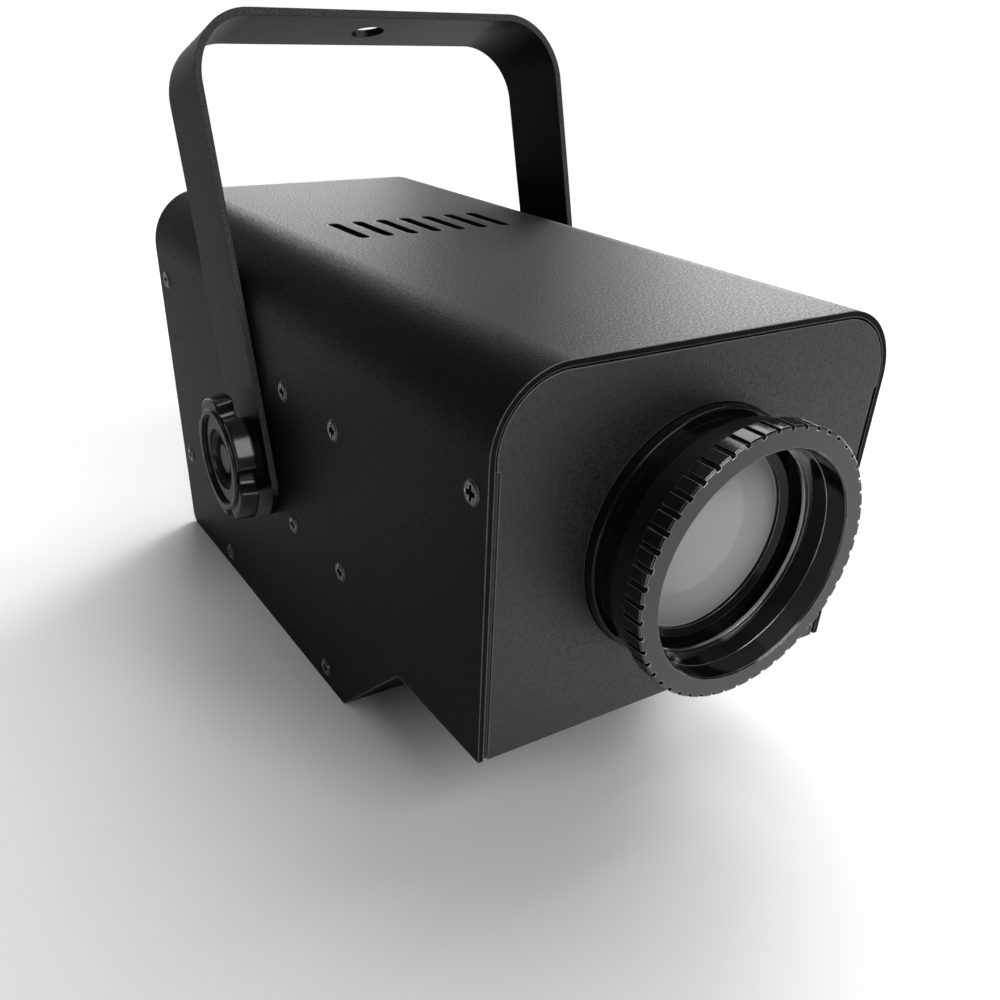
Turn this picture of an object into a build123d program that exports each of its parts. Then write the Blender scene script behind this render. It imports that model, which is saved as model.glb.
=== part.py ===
from build123d import *
import os
from math import cos, hypot, radians, sin, sqrt, tan

# A small stage light with a colour wheel. All lengths are millimetres. X runs across the light,
# the lens looks towards -Y and Z is up. The origin lies on the floor below the yoke's axis.

# Driving sizes of the housing
housing_width = 120
housing_height = 132
housing_length = 232
front_height = 97
axis_back = 137
step_back = 42
base_back = 80
corner_radius = 19
heel_radius = 4
sheet = 1.5
seam = 0.5
slip = 0.1
overrun = 1

# Places that follow from the driving sizes
half_width = housing_width / 2
inner_half = half_width - sheet
front_y = -axis_back
rear_y = housing_length - axis_back
step_z = housing_height - front_height
lens_z = step_z + front_height / 2
axis_z = housing_height / 2
panel_half = inner_half - seam
nodes = {}


def back(distance):
    """The y of a place that lies this far behind the front face."""
    return front_y + distance


def ahead(distance):
    """The y of a place that lies this far in front of the front face."""
    return front_y - distance


def across_x(face, x_from, x_to):
    """Extrude a face drawn in (y, z) across the light."""
    return extrude(Plane.YZ.offset(x_from) * face, x_to - x_from)


def along_y(face, y_from, y_to):
    """Extrude a face drawn in (x, z) along the light."""
    return extrude(Plane.XZ.offset(-y_to) * face, y_to - y_from)


def up_z(face, z_from, z_to):
    """Extrude a face drawn in (x, y) upwards."""
    return extrude(Plane.XY.offset(z_from) * face, z_to - z_from)


def block(x_span, y_span, z_span):
    """A box between three pairs of places."""
    middle = Pos(sum(x_span) / 2, sum(y_span) / 2)
    face = middle * Rectangle(x_span[1] - x_span[0], y_span[1] - y_span[0])
    return up_z(face, z_span[0], z_span[1])


def rod_x(radius, y, z, x_from, x_to):
    return across_x(Pos(y, z) * Circle(radius), x_from, x_to)


def rod_y(radius, x, z, y_from, y_to):
    return along_y(Pos(x, z) * Circle(radius), y_from, y_to)


def rod_z(radius, x, y, z_from, z_to):
    return up_z(Pos(x, y) * Circle(radius), z_from, z_to)


def tube_y(outer, inner, x, z, y_from, y_to):
    ring = Circle(outer) - Circle(inner)
    return along_y(Pos(x, z) * ring, y_from, y_to)


def turned(x, z, points):
    """Turn an outline of (radius, y) points about a line along Y through (x, z)."""
    return Pos(x, 0, z) * revolve(Polygon(*points, align=None), Axis.Y)


def both_sides(shape):
    return shape + mirror(shape, Plane.YZ)


def group(shapes):
    return Compound([solid for shape in shapes for solid in shape.solids()])


def around(count, first=0):
    """Evenly spaced angles of a full turn, in degrees."""
    return [first + 360 * index / count for index in range(count)]


def polar(radius, angle, x=0, z=0):
    """The (x, z) of a place on a circle seen along Y."""
    return x + radius * cos(radians(angle)), z + radius * sin(radians(angle))


def polygon_face(points):
    return Polygon(*points, align=None)


# Screws

recess_share = 0.68
recess_width_share = 0.24
recess_depth_share = 0.8


def cross_recess(head_radius, top):
    """The cross cut in a screw head whose top lies at this z."""
    length = 2 * head_radius * recess_share
    width = 2 * head_radius * recess_width_share
    depth = head_radius * recess_depth_share
    arm = Pos(0, 0, top - depth / 2) * Box(length, width, depth)
    return arm + Rot(0, 0, 90) * arm


def sunk_screw(head_radius, shank_radius, length, proud):
    """A raised countersunk screw along Z, with the surface that it sits in at z = 0."""
    cone = head_radius - shank_radius
    outline = [(0, proud), (head_radius - proud, proud), (head_radius, 0), (shank_radius, -cone),
               (shank_radius, -length), (0, -length)]
    return revolve(Plane.XZ * polygon_face(outline), Axis.Z) - cross_recess(head_radius, proud)


def sunk_seat(head_radius, shank_radius, length):
    """The hole for a countersunk screw, with the screw's slip all round."""
    cone = head_radius - shank_radius
    outline = [(0, overrun), (head_radius + slip, overrun), (head_radius + slip, 0),
               (shank_radius + slip, -cone), (shank_radius + slip, -length - overrun),
               (0, -length - overrun)]
    return revolve(Plane.XZ * polygon_face(outline), Axis.Z)


def pan_screw(head_radius, head_height, shank_radius, length):
    """A pan head screw along Z, with its head resting on z = 0."""
    head = up_z(Circle(head_radius), 0, head_height)
    edge = head.edges().group_by(Axis.Z)[-1]
    head = fillet(edge, head_height / 2)
    shank = up_z(Circle(shank_radius), -length, 0)
    return head + shank - cross_recess(head_radius, head_height)


def facing(x, y, z, direction):
    """A frame at a place whose Z points the way that a screw head looks."""
    return Plane(origin=(x, y, z), z_dir=direction)


left = (-1, 0, 0)
frontwards = (0, -1, 0)
rearwards = (0, 1, 0)
downwards = (0, 0, -1)
upwards = (0, 0, 1)

# The side screws hold the panels, the bottom plate and the optics bracket to the shell
sunk_head = 2.95
sunk_shank = 1.5
sunk_proud = 0.5
side_screw_length = 6
bracket_screw_backs = (77, 112)
bracket_screw_heights = (50.5, 94)
rear_screw_inset = 9
rear_screw_heights = (33.5, 103)
base_screw_backs = (93, 184)
base_screw_height = 6.5

side_screw_places = [(back(y), z) for y in bracket_screw_backs for z in bracket_screw_heights]
side_screw_places += [(rear_y - rear_screw_inset, z) for z in rear_screw_heights]
side_screw_places += [(back(y), base_screw_height) for y in base_screw_backs]

# The two longer screws near the front edge
front_screw_length = 8
front_screw_back = 6.3
front_screw_height = 104.6


def side_screws():
    screw = sunk_screw(sunk_head, sunk_shank, side_screw_length, sunk_proud)
    placed = [facing(-half_width, y, z, left) * screw for y, z in side_screw_places]
    return group([both_sides(shape) for shape in placed])


def front_screws():
    screw = sunk_screw(sunk_head, sunk_shank, front_screw_length, sunk_proud)
    return both_sides(facing(-half_width, back(front_screw_back), front_screw_height, left) * screw)


def side_screw_holes():
    """Every hole that the side screws need, on both sides."""
    seat = sunk_seat(sunk_head, sunk_shank, side_screw_length)
    holes = [facing(-half_width, y, z, left) * seat for y, z in side_screw_places]
    seat = sunk_seat(sunk_head, sunk_shank, front_screw_length)
    holes.append(facing(-half_width, back(front_screw_back), front_screw_height, left) * seat)
    return group([both_sides(hole) for hole in holes])


screw_holes = side_screw_holes()

# The housing's sheet metal

base_y = back(base_back)
step_y = back(step_back)
nut_radius = 5


def housing_section(inset, bottom_z):
    """The arch of the housing seen from the front, drawn in (x, z)."""
    half = half_width - inset
    top = housing_height - inset
    face = Pos(0, (top + bottom_z) / 2) * Rectangle(2 * half, top - bottom_z)
    corners = face.vertices().sort_by(Axis.Y)[-2:]
    return fillet(corners, corner_radius - inset)


def side_outline():
    """The stepped side of the housing, drawn in (y, z)."""
    face = polygon_face([(front_y, step_z), (step_y, step_z), (base_y, 0), (rear_y, 0),
                         (rear_y, housing_height), (front_y, housing_height)])
    heel = face.vertices().sort_by_distance((rear_y, 0))[0]
    return fillet(heel, heel_radius)


slot_count = 7
slot_pitch = 8.4
slot_width = 4
slot_length = 25


def cooling_slots():
    """Slots through the top, centred over the yoke's axis."""
    slot = Rot(0, 0, 90) * SlotOverall(slot_length, slot_width)
    places = [slot_pitch * (index - (slot_count - 1) / 2) for index in range(slot_count)]
    top = housing_height + overrun
    return group([up_z(Pos(x, 0) * slot, top - sheet - 2 * overrun, top) for x in places])


def top_shell():
    hollow = housing_section(sheet, -overrun)
    shell = along_y(housing_section(0, 0) - hollow, front_y, rear_y)
    shell = shell & across_x(side_outline(), -half_width, half_width)
    pivot = rod_x(nut_radius + slip, 0, axis_z, -half_width - overrun, half_width + overrun)
    return shell - pivot - cooling_slots() - screw_holes


# Front panel: a face inside the shell's edge, with side flanges, a bottom flange and weld studs

flange_depth = 20
bend_room = 2
flange_top = housing_height - corner_radius - bend_room
relief = 0.8
tube_radius = 29.8
spigot_wall = 2.6
spigot_radius = tube_radius + slip + spigot_wall
collar_stud_land = 3.5
collar_edge_land = 4
stud_ring = spigot_radius + collar_stud_land
collar_flange_radius = stud_ring + collar_edge_land
stud_count = 4
stud_first_angle = 45
stud_radius = 1.5
stud_length = 9
bottom_lap = 14
seam_screw_x = 40
seam_screw_back = 8


def stud_places():
    return [polar(stud_ring, angle, 0, lens_z) for angle in around(stud_count, stud_first_angle)]


def front_panel():
    face = housing_section(sheet + seam, step_z)
    panel = along_y(face, front_y, back(sheet))
    edge = block((-panel_half - overrun, relief - panel_half), (front_y - overrun, back(sheet / 2)),
                 (step_z - overrun, flange_top))
    flange = block((-inner_half, sheet - inner_half), (back(sheet / 2), back(flange_depth)),
                   (step_z + sheet, flange_top))
    panel = panel - both_sides(edge) + both_sides(flange)
    lap = block((2 * sheet - inner_half, inner_half - 2 * sheet), (back(sheet / 2), back(bottom_lap)),
                (step_z + sheet, step_z + 2 * sheet))
    studs = [rod_y(stud_radius, x, z, back(sheet / 2), back(sheet + stud_length))
             for x, z in stud_places()]
    hole = rod_y(spigot_radius + 2 * slip, 0, lens_z, front_y - overrun, back(2 * sheet))
    panel = panel + lap + studs - hole - screw_holes
    return panel - seam_screw_holes()


# Bottom plate: level, step, level base with low side flanges, and a lip up at the rear

base_half = inner_half - slip
base_flange_height = 13
base_flange_start = 84
base_flange_end = 222
lip_height = 10
pan_shank = 1.5
pan_head = 2.9
pan_head_height = 1.6
seam_length = 5
intake_count = 6
intake_length = 50
intake_pitch = 12
intake_back = 150


def bottom_band():
    """The bottom plate seen from the side, drawn in (y, z)."""
    run = base_y - step_y
    turn = sheet * (hypot(run, step_z) - run) / step_z
    start = back(sheet + slip)
    face = polygon_face([
        (start, step_z), (step_y, step_z), (base_y, 0), (rear_y, 0), (rear_y, lip_height),
        (rear_y - sheet, lip_height), (rear_y - sheet, sheet), (base_y + turn, sheet),
        (step_y + turn, step_z + sheet), (start, step_z + sheet)])
    outer = face.vertices().sort_by_distance((rear_y, 0))[0]
    face = fillet(outer, heel_radius)
    inner = face.vertices().sort_by_distance((rear_y - sheet, sheet))[0]
    return fillet(inner, heel_radius - sheet)


def seam_screw_holes():
    hole = rod_z(pan_shank + slip, -seam_screw_x, back(seam_screw_back),
                 step_z - overrun, step_z + seam_length)
    return both_sides(hole)


def seam_screws():
    screw = pan_screw(pan_head, pan_head_height, pan_shank, seam_length)
    return both_sides(facing(-seam_screw_x, back(seam_screw_back), step_z, downwards) * screw)


def bottom_plate():
    plate = across_x(bottom_band(), -base_half, base_half)
    flange = block((-base_half, sheet - base_half), (back(base_flange_start), back(base_flange_end)),
                   (sheet / 2, base_flange_height))
    slot = SlotOverall(intake_length, slot_width)
    slots = [up_z(Pos(0, back(intake_back + intake_pitch * index)) * slot, -overrun, sheet + overrun)
             for index in range(intake_count)]
    plate = plate + both_sides(flange) - group(slots) - screw_holes
    posts = [rod_z(post_screw_radius + slip, x, y, -overrun, sheet + overrun)
             for x, y in power_post_places()]
    return plate - seam_screw_holes() - group(posts)


# Rear panel: cut-outs for the sockets, the display, the buttons and the warm air

rear_gap = 0.5
rear_flange_depth = 18
rear_flange_bottom = 18
rear_bend_room = 3
rear_flange_top = housing_height - corner_radius - rear_bend_room
exhaust_count = 9
exhaust_pitch = 7
exhaust_width = 3.6
exhaust_height = 34
exhaust_z = 104
socket_z = 27
inlet_x = 37
input_x = -38
output_x = -6
socket_hole_radius = 11.9
socket_screw_x = 9.5
socket_screw_z = 12
inlet_body_width = 27
inlet_body_height = 28
display_z = 72
display_x = -8
display_width = 34
display_height = 16
button_z = 54
button_count = 4
button_pitch = 13
button_radius = 3
button_play = 0.2
button_places = [button_pitch * (index - (button_count - 1) / 2) for index in range(button_count)]


def rear_panel():
    face = housing_section(sheet + seam, lip_height + rear_gap)
    panel = along_y(face, rear_y - sheet, rear_y)
    flange = block((-inner_half, sheet - inner_half), (rear_y - rear_flange_depth, rear_y - sheet / 2),
                   (rear_flange_bottom, rear_flange_top))
    panel = panel + both_sides(flange)
    slot = Rot(0, 0, 90) * SlotOverall(exhaust_height, exhaust_width)
    middle = (exhaust_count - 1) / 2
    cuts = [Pos(exhaust_pitch * (index - middle), exhaust_z) * slot for index in range(exhaust_count)]
    cuts += [Pos(x, socket_z) * Circle(socket_hole_radius) for x in (input_x, output_x)]
    cuts += [Pos(x, z) * Circle(pan_shank + slip) for x, z in socket_screw_places()]
    cuts.append(offset(latch_case_face(), slip))
    inlet_hole = Rectangle(inlet_body_width + 2 * slip, inlet_body_height + 2 * slip)
    cuts.append(Pos(inlet_x, socket_z) * inlet_hole)
    display_hole = Rectangle(display_width + 2 * slip, display_height + 2 * slip)
    cuts.append(Pos(display_x, display_z) * display_hole)
    cuts += [Pos(x, button_z) * Circle(button_radius + button_play) for x in button_places]
    cuts += [Pos(x, z) * Circle(post_screw_radius + slip) for x, z in control_post_places()]
    holes = [along_y(cut, rear_y - 2 * sheet, rear_y + overrun) for cut in cuts]
    return panel - group(holes) - screw_holes


def socket_screw_places():
    """Two screws at opposite corners of each data socket and beside the mains inlet."""
    places = []
    for x in (input_x, output_x):
        places.append((x - socket_screw_x, socket_z + socket_screw_z))
        places.append((x + socket_screw_x, socket_z - socket_screw_z))
    return places


# Yoke, its washers, threaded nuts, studs and knobs

yoke_tilt = 16
yoke_reach = 124.3
yoke_width = 29
yoke_drop = 20.3
yoke_end_corner = 13
yoke_sheet = 2
washer_thickness = 1
washer_radius = 12
yoke_inner = half_width + washer_thickness
yoke_outer = yoke_inner + yoke_sheet
yoke_hole_radius = 5.25
stud_thread = 3
thread_fit = 0.05
stud_room = 0.3
nut_flange_radius = 8
nut_length = 12
nut_inner_x = half_width - nut_length
stud_sink = 10
stud_inner_x = half_width - stud_sink
stud_reach = 7.4
stud_outer_x = yoke_outer + stud_reach
knob_gap = 0.2
knob_hub_radius = 12
knob_hub_length = 5.2
knob_lobe_x = yoke_outer + knob_gap + knob_hub_length
knob_grip_length = 5.6
knob_face_x = knob_lobe_x + knob_grip_length
knob_tip_radius = 19.4
knob_valley_radius = 15.2
knob_lobes = 5
knob_first_lobe = 34
knob_lobe_angle = 44
knob_edge = 0.8
knob_draft = 0.9
knob_valley_round = 2.4
knob_rim_radius = 16.2
knob_rim_height = 0.7
knob_rim_width = 1.5
knob_recess = 1.1
knob_bowl_radius = 9.8
knob_bowl_depth = 3.6
knob_boss_radius = 4.8
knob_boss_depth = 2.6


def yoke():
    """A bent strip, drawn upright about its axis and then leant back."""
    outer = Rectangle(2 * yoke_outer, 2 * yoke_reach)
    outer = fillet(outer.vertices().sort_by(Axis.Y)[-2:], corner_radius)
    inner = Rectangle(2 * yoke_inner, 2 * (yoke_reach - yoke_sheet))
    inner = fillet(inner.vertices().sort_by(Axis.Y)[-2:], corner_radius - yoke_sheet)
    inner = inner + Pos(0, -yoke_reach) * Rectangle(2 * yoke_inner, yoke_reach)
    half = yoke_width / 2
    strip = along_y(outer - inner, -half, half)
    arm = Pos(0, (yoke_reach - yoke_drop) / 2) * Rectangle(yoke_width, yoke_reach + yoke_drop)
    arm = fillet(arm.vertices().sort_by(Axis.Y)[:2], yoke_end_corner)
    strip = strip & across_x(arm, -yoke_outer, yoke_outer)
    pivot = rod_x(stud_thread + stud_room, 0, 0, -yoke_outer - overrun, yoke_outer + overrun)
    hole = rod_z(yoke_hole_radius, 0, 0, yoke_reach - 2 * yoke_sheet, yoke_reach + overrun)
    return Pos(0, 0, axis_z) * Rot(-yoke_tilt, 0, 0) * (strip - pivot - hole)


def yoke_washers():
    ring = Pos(0, axis_z) * (Circle(washer_radius) - Circle(stud_thread + stud_room))
    return both_sides(across_x(ring, -yoke_inner, -half_width))


def pivot_nuts():
    """Flanged threaded nuts pressed into the side walls from inside."""
    nut = rod_x(nut_radius, 0, axis_z, -half_width, -nut_inner_x)
    nut = nut + rod_x(nut_flange_radius, 0, axis_z, -inner_half, sheet - inner_half)
    nut = nut - rod_x(stud_thread + thread_fit, 0, axis_z, -half_width - overrun, overrun - nut_inner_x)
    return both_sides(nut)


def knob_stud():
    """The threaded stud of the left knob."""
    return rod_x(stud_thread, 0, axis_z, -stud_outer_x, -stud_inner_x)


def knob_outline(grow):
    """Five lobes on a round body, drawn about the stud in (y, z)."""
    face = Circle(knob_valley_radius + grow)
    tip_radius = knob_tip_radius + grow
    spread = tip_radius * tan(radians(knob_lobe_angle / 2))
    lobe = Pos(tip_radius / 2, 0) * Rectangle(tip_radius, 2 * spread)
    lobe = lobe & Circle(tip_radius)
    for angle in around(knob_lobes, 180 - knob_first_lobe):
        face = face + Rot(0, 0, angle) * lobe
    valleys = face.vertices().sort_by_distance((0, 0))[:2 * knob_lobes]
    face = fillet(valleys, knob_valley_round)
    tips = face.vertices().sort_by_distance((0, 0))[-2 * knob_lobes:]
    return fillet(tips, knob_edge)


def knob_disc(radius, depth, height=0):
    """A disc about the stud, from a depth below the rim's face up to a height below it."""
    face_x = -knob_face_x - knob_rim_height
    return rod_x(radius, 0, 0, face_x + height, face_x + depth)


def knob():
    """The left knob: a hub, a drafted grip with lobes, and a rim round a recess, a bowl and a boss."""
    small_end = Plane.YZ.offset(-knob_face_x) * knob_outline(0)
    grip = loft([small_end, Plane.YZ.offset(-knob_lobe_x) * knob_outline(knob_draft)], ruled=True)
    rim_edges = grip.edges().group_by(Axis.X)[0]
    grip = chamfer(rim_edges, knob_edge / 2)
    hub = rod_x(knob_hub_radius, 0, 0, -knob_lobe_x, -yoke_outer - knob_gap)
    rim = knob_disc(knob_rim_radius, knob_rim_height + knob_edge)
    rim = fillet(rim.edges().group_by(Axis.X)[0], knob_rim_height / 2)
    recess = knob_disc(knob_rim_radius - knob_rim_width, knob_recess, -overrun)
    bowl = knob_disc(knob_bowl_radius, knob_bowl_depth, -overrun)
    bowl = fillet(bowl.edges().group_by(Axis.X)[-1], knob_bowl_depth - knob_recess)
    boss = knob_disc(knob_boss_radius, knob_bowl_depth + knob_edge, knob_boss_depth)
    boss = fillet(boss.edges().group_by(Axis.X)[0], knob_edge / 2)
    bore = rod_x(stud_thread + thread_fit, 0, 0, -stud_outer_x - knob_gap, -yoke_outer)
    return Pos(0, 0, axis_z) * (grip + hub + rim - recess - bowl + boss - bore)


# Lens collar, tube, focus ring and glass, on the optical axis

lip_ahead = 2.9
lip_round = 0.7
collar_flange_thickness = 4
collar_end_back = 14
collar_nut_radius = 3
nut_sides = 6
collar_nut_height = 2.4
tube_front_ahead = 16
tube_rear_back = 30
tube_bore = 28.6
shoulder_bore = 25.5
shoulder_front_ahead = 1.3
shoulder_thickness = 2
tube_rear_bore = 27.8
snap_ahead = 9.4
snap_thickness = 1
snap_inner = 27.3
snap_outer = 28.95
snap_gap_angle = 12
retainer_rear_ahead = 4.3
retainer_thickness = 2
retainer_inner = 24
retainer_outer = 28.5
notch_width = 2.5
lens_outer = 28.4
dome_radius = 23.6
dome_height = 5.5
dome_steps = 10
ring_front_ahead = 21.8
grip_length = 6
grip_radius = 34.3
sleeve_radius = 32.4
sleeve_rear_ahead = 9
hood_bore = 28.8
groove_count = 50
groove_width = 1.3
groove_depth = 1
grub_ahead = 12.8
grub_angle = -115
grub_radius = 1.5
grub_tip = 27.9
grub_socket = 0.8
ring_edge = 0.4
sleeve_round = 0.8


def lens_collar():
    """A fixed bush clamped behind the front panel, with a lip through the panel's hole."""
    bore = tube_radius + slip
    points = [(bore, ahead(lip_ahead)), (spigot_radius, ahead(lip_ahead)), (spigot_radius, back(sheet)),
              (collar_flange_radius, back(sheet)),
              (collar_flange_radius, back(sheet + collar_flange_thickness)),
              (spigot_radius, back(sheet + collar_flange_thickness)),
              (spigot_radius, back(collar_end_back)), (bore, back(collar_end_back))]
    collar = turned(0, lens_z, points)
    lip = collar.edges().filter_by(GeomType.CIRCLE).group_by(Axis.Y)[0].sort_by(SortBy.RADIUS)[-1]
    collar = fillet(lip, lip_round)
    holes = [rod_y(stud_radius + slip, x, z, front_y, back(collar_end_back)) for x, z in stud_places()]
    return collar - group(holes)


def collar_nuts():
    """Hexagon nuts on the panel's weld studs."""
    seat = back(sheet + collar_flange_thickness)
    nut = RegularPolygon(collar_nut_radius, nut_sides) - Circle(stud_radius + slip)
    return group([along_y(Pos(x, z) * nut, seat, seat + collar_nut_height) for x, z in stud_places()])


def lens_tube():
    """The threaded tube that carries the front lens and screws in and out of the collar."""
    groove = snap_outer + thread_fit
    points = [(tube_radius, ahead(tube_front_ahead)), (tube_radius, back(tube_rear_back)),
              (tube_rear_bore, back(tube_rear_back)),
              (tube_rear_bore, ahead(shoulder_front_ahead - shoulder_thickness)),
              (shoulder_bore, ahead(shoulder_front_ahead - shoulder_thickness)),
              (shoulder_bore, ahead(shoulder_front_ahead)), (tube_bore, ahead(shoulder_front_ahead)),
              (tube_bore, ahead(snap_ahead - thread_fit)), (groove, ahead(snap_ahead - thread_fit)),
              (groove, ahead(snap_ahead + snap_thickness + thread_fit)),
              (tube_bore, ahead(snap_ahead + snap_thickness + thread_fit)),
              (tube_bore, ahead(tube_front_ahead))]
    return turned(0, lens_z, points) - grub_hole()


def grub_rod(radius, inner, outer):
    """A rod pointing at the optical axis, at the grub screw's place."""
    rod = up_z(Circle(radius), inner, outer)
    return Pos(0, ahead(grub_ahead), lens_z) * Rot(0, 90 - grub_angle, 0) * rod


def grub_hole():
    return grub_rod(grub_radius + thread_fit, grub_tip - overrun, grip_radius)


def focus_set_screw():
    socket = grub_rod(grub_socket, sleeve_radius - 2 * grub_radius, sleeve_radius)
    return grub_rod(grub_radius, grub_tip, sleeve_radius - ring_edge) - socket


def focus_ring():
    """The ring that the hand turns: a hood, a grooved grip and a plain sleeve over the tube."""
    grip_rear = ring_front_ahead - grip_length
    sleeve_bore = tube_radius + slip
    points = [(hood_bore + ring_edge, ahead(ring_front_ahead)),
              (grip_radius - ring_edge, ahead(ring_front_ahead)),
              (grip_radius, ahead(ring_front_ahead - ring_edge)),
              (grip_radius, ahead(grip_rear + ring_edge)), (grip_radius - ring_edge, ahead(grip_rear)),
              (sleeve_radius, ahead(grip_rear)), (sleeve_radius, ahead(sleeve_rear_ahead)),
              (sleeve_bore, ahead(sleeve_rear_ahead)), (sleeve_bore, ahead(tube_front_ahead + slip)),
              (hood_bore, ahead(tube_front_ahead + slip)), (hood_bore, ahead(ring_front_ahead - ring_edge))]
    ring = turned(0, lens_z, points)
    rear_edge = ring.edges().filter_by(GeomType.CIRCLE).group_by(Axis.Y)[-1].sort_by(SortBy.RADIUS)[-1]
    ring = fillet(rear_edge, sleeve_round)
    floor_radius = grip_radius - groove_depth
    groove = block((floor_radius, grip_radius + overrun), (-grip_length, grip_length),
                   (-groove_width / 2, groove_width / 2))
    middle = Pos(0, ahead(ring_front_ahead - grip_length / 2), lens_z)
    grooves = [middle * Rot(0, angle, 0) * groove for angle in around(groove_count)]
    front_rim = rod_y(floor_radius, 0, lens_z, ahead(2 * ring_front_ahead), front_y)
    past_grip = tube_y(2 * grip_radius, floor_radius - overrun, 0, lens_z, ahead(grip_rear), front_y)
    return ring - (group(grooves) - front_rim - past_grip) - grub_hole()


def lens_retaining_ring():
    """A threaded ring with two spanner notches."""
    rear = retainer_rear_ahead
    points = [(retainer_inner, ahead(rear)), (retainer_outer, ahead(rear)),
              (retainer_outer, ahead(rear + retainer_thickness)),
              (retainer_inner + retainer_thickness, ahead(rear + retainer_thickness)),
              (retainer_inner, ahead(rear + retainer_thickness / 2))]
    ring = turned(0, lens_z, points)
    notch = block((-retainer_outer, retainer_outer),
                  (ahead(rear + retainer_thickness + overrun), ahead(rear + retainer_thickness / 2)),
                  (lens_z - notch_width / 2, lens_z + notch_width / 2))
    notch = notch - rod_y(retainer_inner + retainer_thickness, 0, lens_z, ahead(ring_front_ahead), front_y)
    return ring - notch


def lens_snap_ring():
    """An open spring ring in the tube's groove."""
    ring = tube_y(snap_outer, snap_inner, 0, lens_z, ahead(snap_ahead + snap_thickness), ahead(snap_ahead))
    gap_half = snap_outer * tan(radians(snap_gap_angle / 2))
    gap = block((-gap_half, gap_half), (ahead(ring_front_ahead), front_y), (lens_z, lens_z + 2 * snap_outer))
    return ring - gap


def dome(rim_radius, height, flat_y, towards):
    """The points of a lens's curved side, from the rim to the axis."""
    sphere = (rim_radius ** 2 + height ** 2) / (2 * height)
    points = []
    for index in range(dome_steps + 1):
        radius = rim_radius * (1 - index / dome_steps)
        rise = sqrt(sphere ** 2 - radius ** 2) - (sphere - height)
        points.append((radius, flat_y + towards * rise))
    return points


def front_lens():
    """A flat-backed lens with a ground rim and a domed front."""
    rear = ahead(shoulder_front_ahead)
    rim = ahead(retainer_rear_ahead)
    points = [(0, rear), (lens_outer, rear), (lens_outer, rim)] + dome(dome_radius, dome_height, rim, -1)
    return turned(0, lens_z, points)


# Colour wheel: disc, filters, hub, shaft and motor

filter_ring = 30
filter_radius = 10
filter_thickness = 1.1
window_radius = 8.5
wheel_radius = 42
wheel_back = 91
wheel_thickness = 1.5
wheel_z = lens_z - filter_ring
window_count = 7
shaft_radius = 2.5
hub_radius = 7
hub_length = 4
shaft_front_back = 88.5
motor_radius = 14
motor_front_back = 98
motor_length = 18.5
motor_boss_radius = 5
motor_boss_length = 1
motor_ear_x = 17.5
motor_ear_radius = 3.5
motor_ear_thickness = 1
bracket_screw_length = 5
rivet_ring = 5
rivet_radius = 1
rivet_count = 3
straight_up = 90
filter_names = ("red", "amber", "green", "cyan", "blue", "rose")


def window_place(index):
    """The centre of a window, where number 0 is the open one on the optical axis."""
    return polar(filter_ring, around(window_count, straight_up)[index], 0, wheel_z)


def colour_wheel():
    face = Pos(0, wheel_z) * Circle(wheel_radius)
    for index in range(window_count):
        face = face - Pos(*window_place(index)) * Circle(window_radius)
    flag = Pos(0, wheel_z - wheel_radius) * Rectangle(notch_width, 2 * notch_width)
    face = face - Pos(0, wheel_z) * Circle(shaft_radius + thread_fit) - flag
    wheel = along_y(face, back(wheel_back), back(wheel_back + wheel_thickness))
    rivets = [rod_y(rivet_radius, *polar(rivet_ring, angle, 0, wheel_z), back(wheel_back - rivet_radius),
                    back(wheel_back + wheel_thickness / 2)) for angle in around(rivet_count, straight_up)]
    return wheel + rivets


def colour_filter(index):
    x, z = window_place(index)
    return rod_y(filter_radius, x, z, back(wheel_back - filter_thickness), back(wheel_back))


def wheel_hub():
    seat = back(wheel_back + wheel_thickness)
    return tube_y(hub_radius, shaft_radius + thread_fit, 0, wheel_z, seat, seat + hub_length)


def wheel_shaft():
    return rod_y(shaft_radius, 0, wheel_z, back(shaft_front_back), back(motor_front_back + motor_length / 2))


def wheel_motor():
    """A round stepper motor with two ears on its rear face."""
    front = back(motor_front_back)
    rear = front + motor_length
    body = rod_y(motor_radius, 0, wheel_z, front, rear)
    boss = rod_y(motor_boss_radius, 0, wheel_z, front - motor_boss_length, front)
    ears = SlotCenterToCenter(2 * motor_ear_x, 2 * motor_ear_radius)
    for x in (-motor_ear_x, motor_ear_x):
        ears = ears - Pos(x, 0) * Circle(pan_shank + slip)
    ears = along_y(Pos(0, wheel_z) * ears, rear - motor_ear_thickness, rear)
    bore = rod_y(shaft_radius + slip, 0, wheel_z, front - 2 * motor_boss_length,
                 front + motor_length / 2 + slip)
    return body + boss + ears - bore


# Optics bracket, a bent plate across the housing that carries the wheel, the lamp and the heat sink

plate_front_back = motor_front_back + motor_length
bracket_flange_back = 70
bracket_flange_bottom = 44
bracket_flange_top = 100
bracket_bottom = 36
bracket_bend_room = 1
bracket_top = housing_height - corner_radius - bracket_bend_room
lamp_opening = 34
heatsink_half = 35
heatsink_screw_x = 29
heatsink_screw_z = 20
sensor_x = -47
sensor_half = 4
sensor_gap = 1.6
sensor_arm = 4
sensor_overlap = 3.5


def heatsink_screw_places():
    return [(x, lens_z + z) for x in (-heatsink_screw_x, heatsink_screw_x)
            for z in (-heatsink_screw_z, heatsink_screw_z)]


def motor_screw_places():
    return [(-motor_ear_x, wheel_z), (motor_ear_x, wheel_z)]


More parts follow.
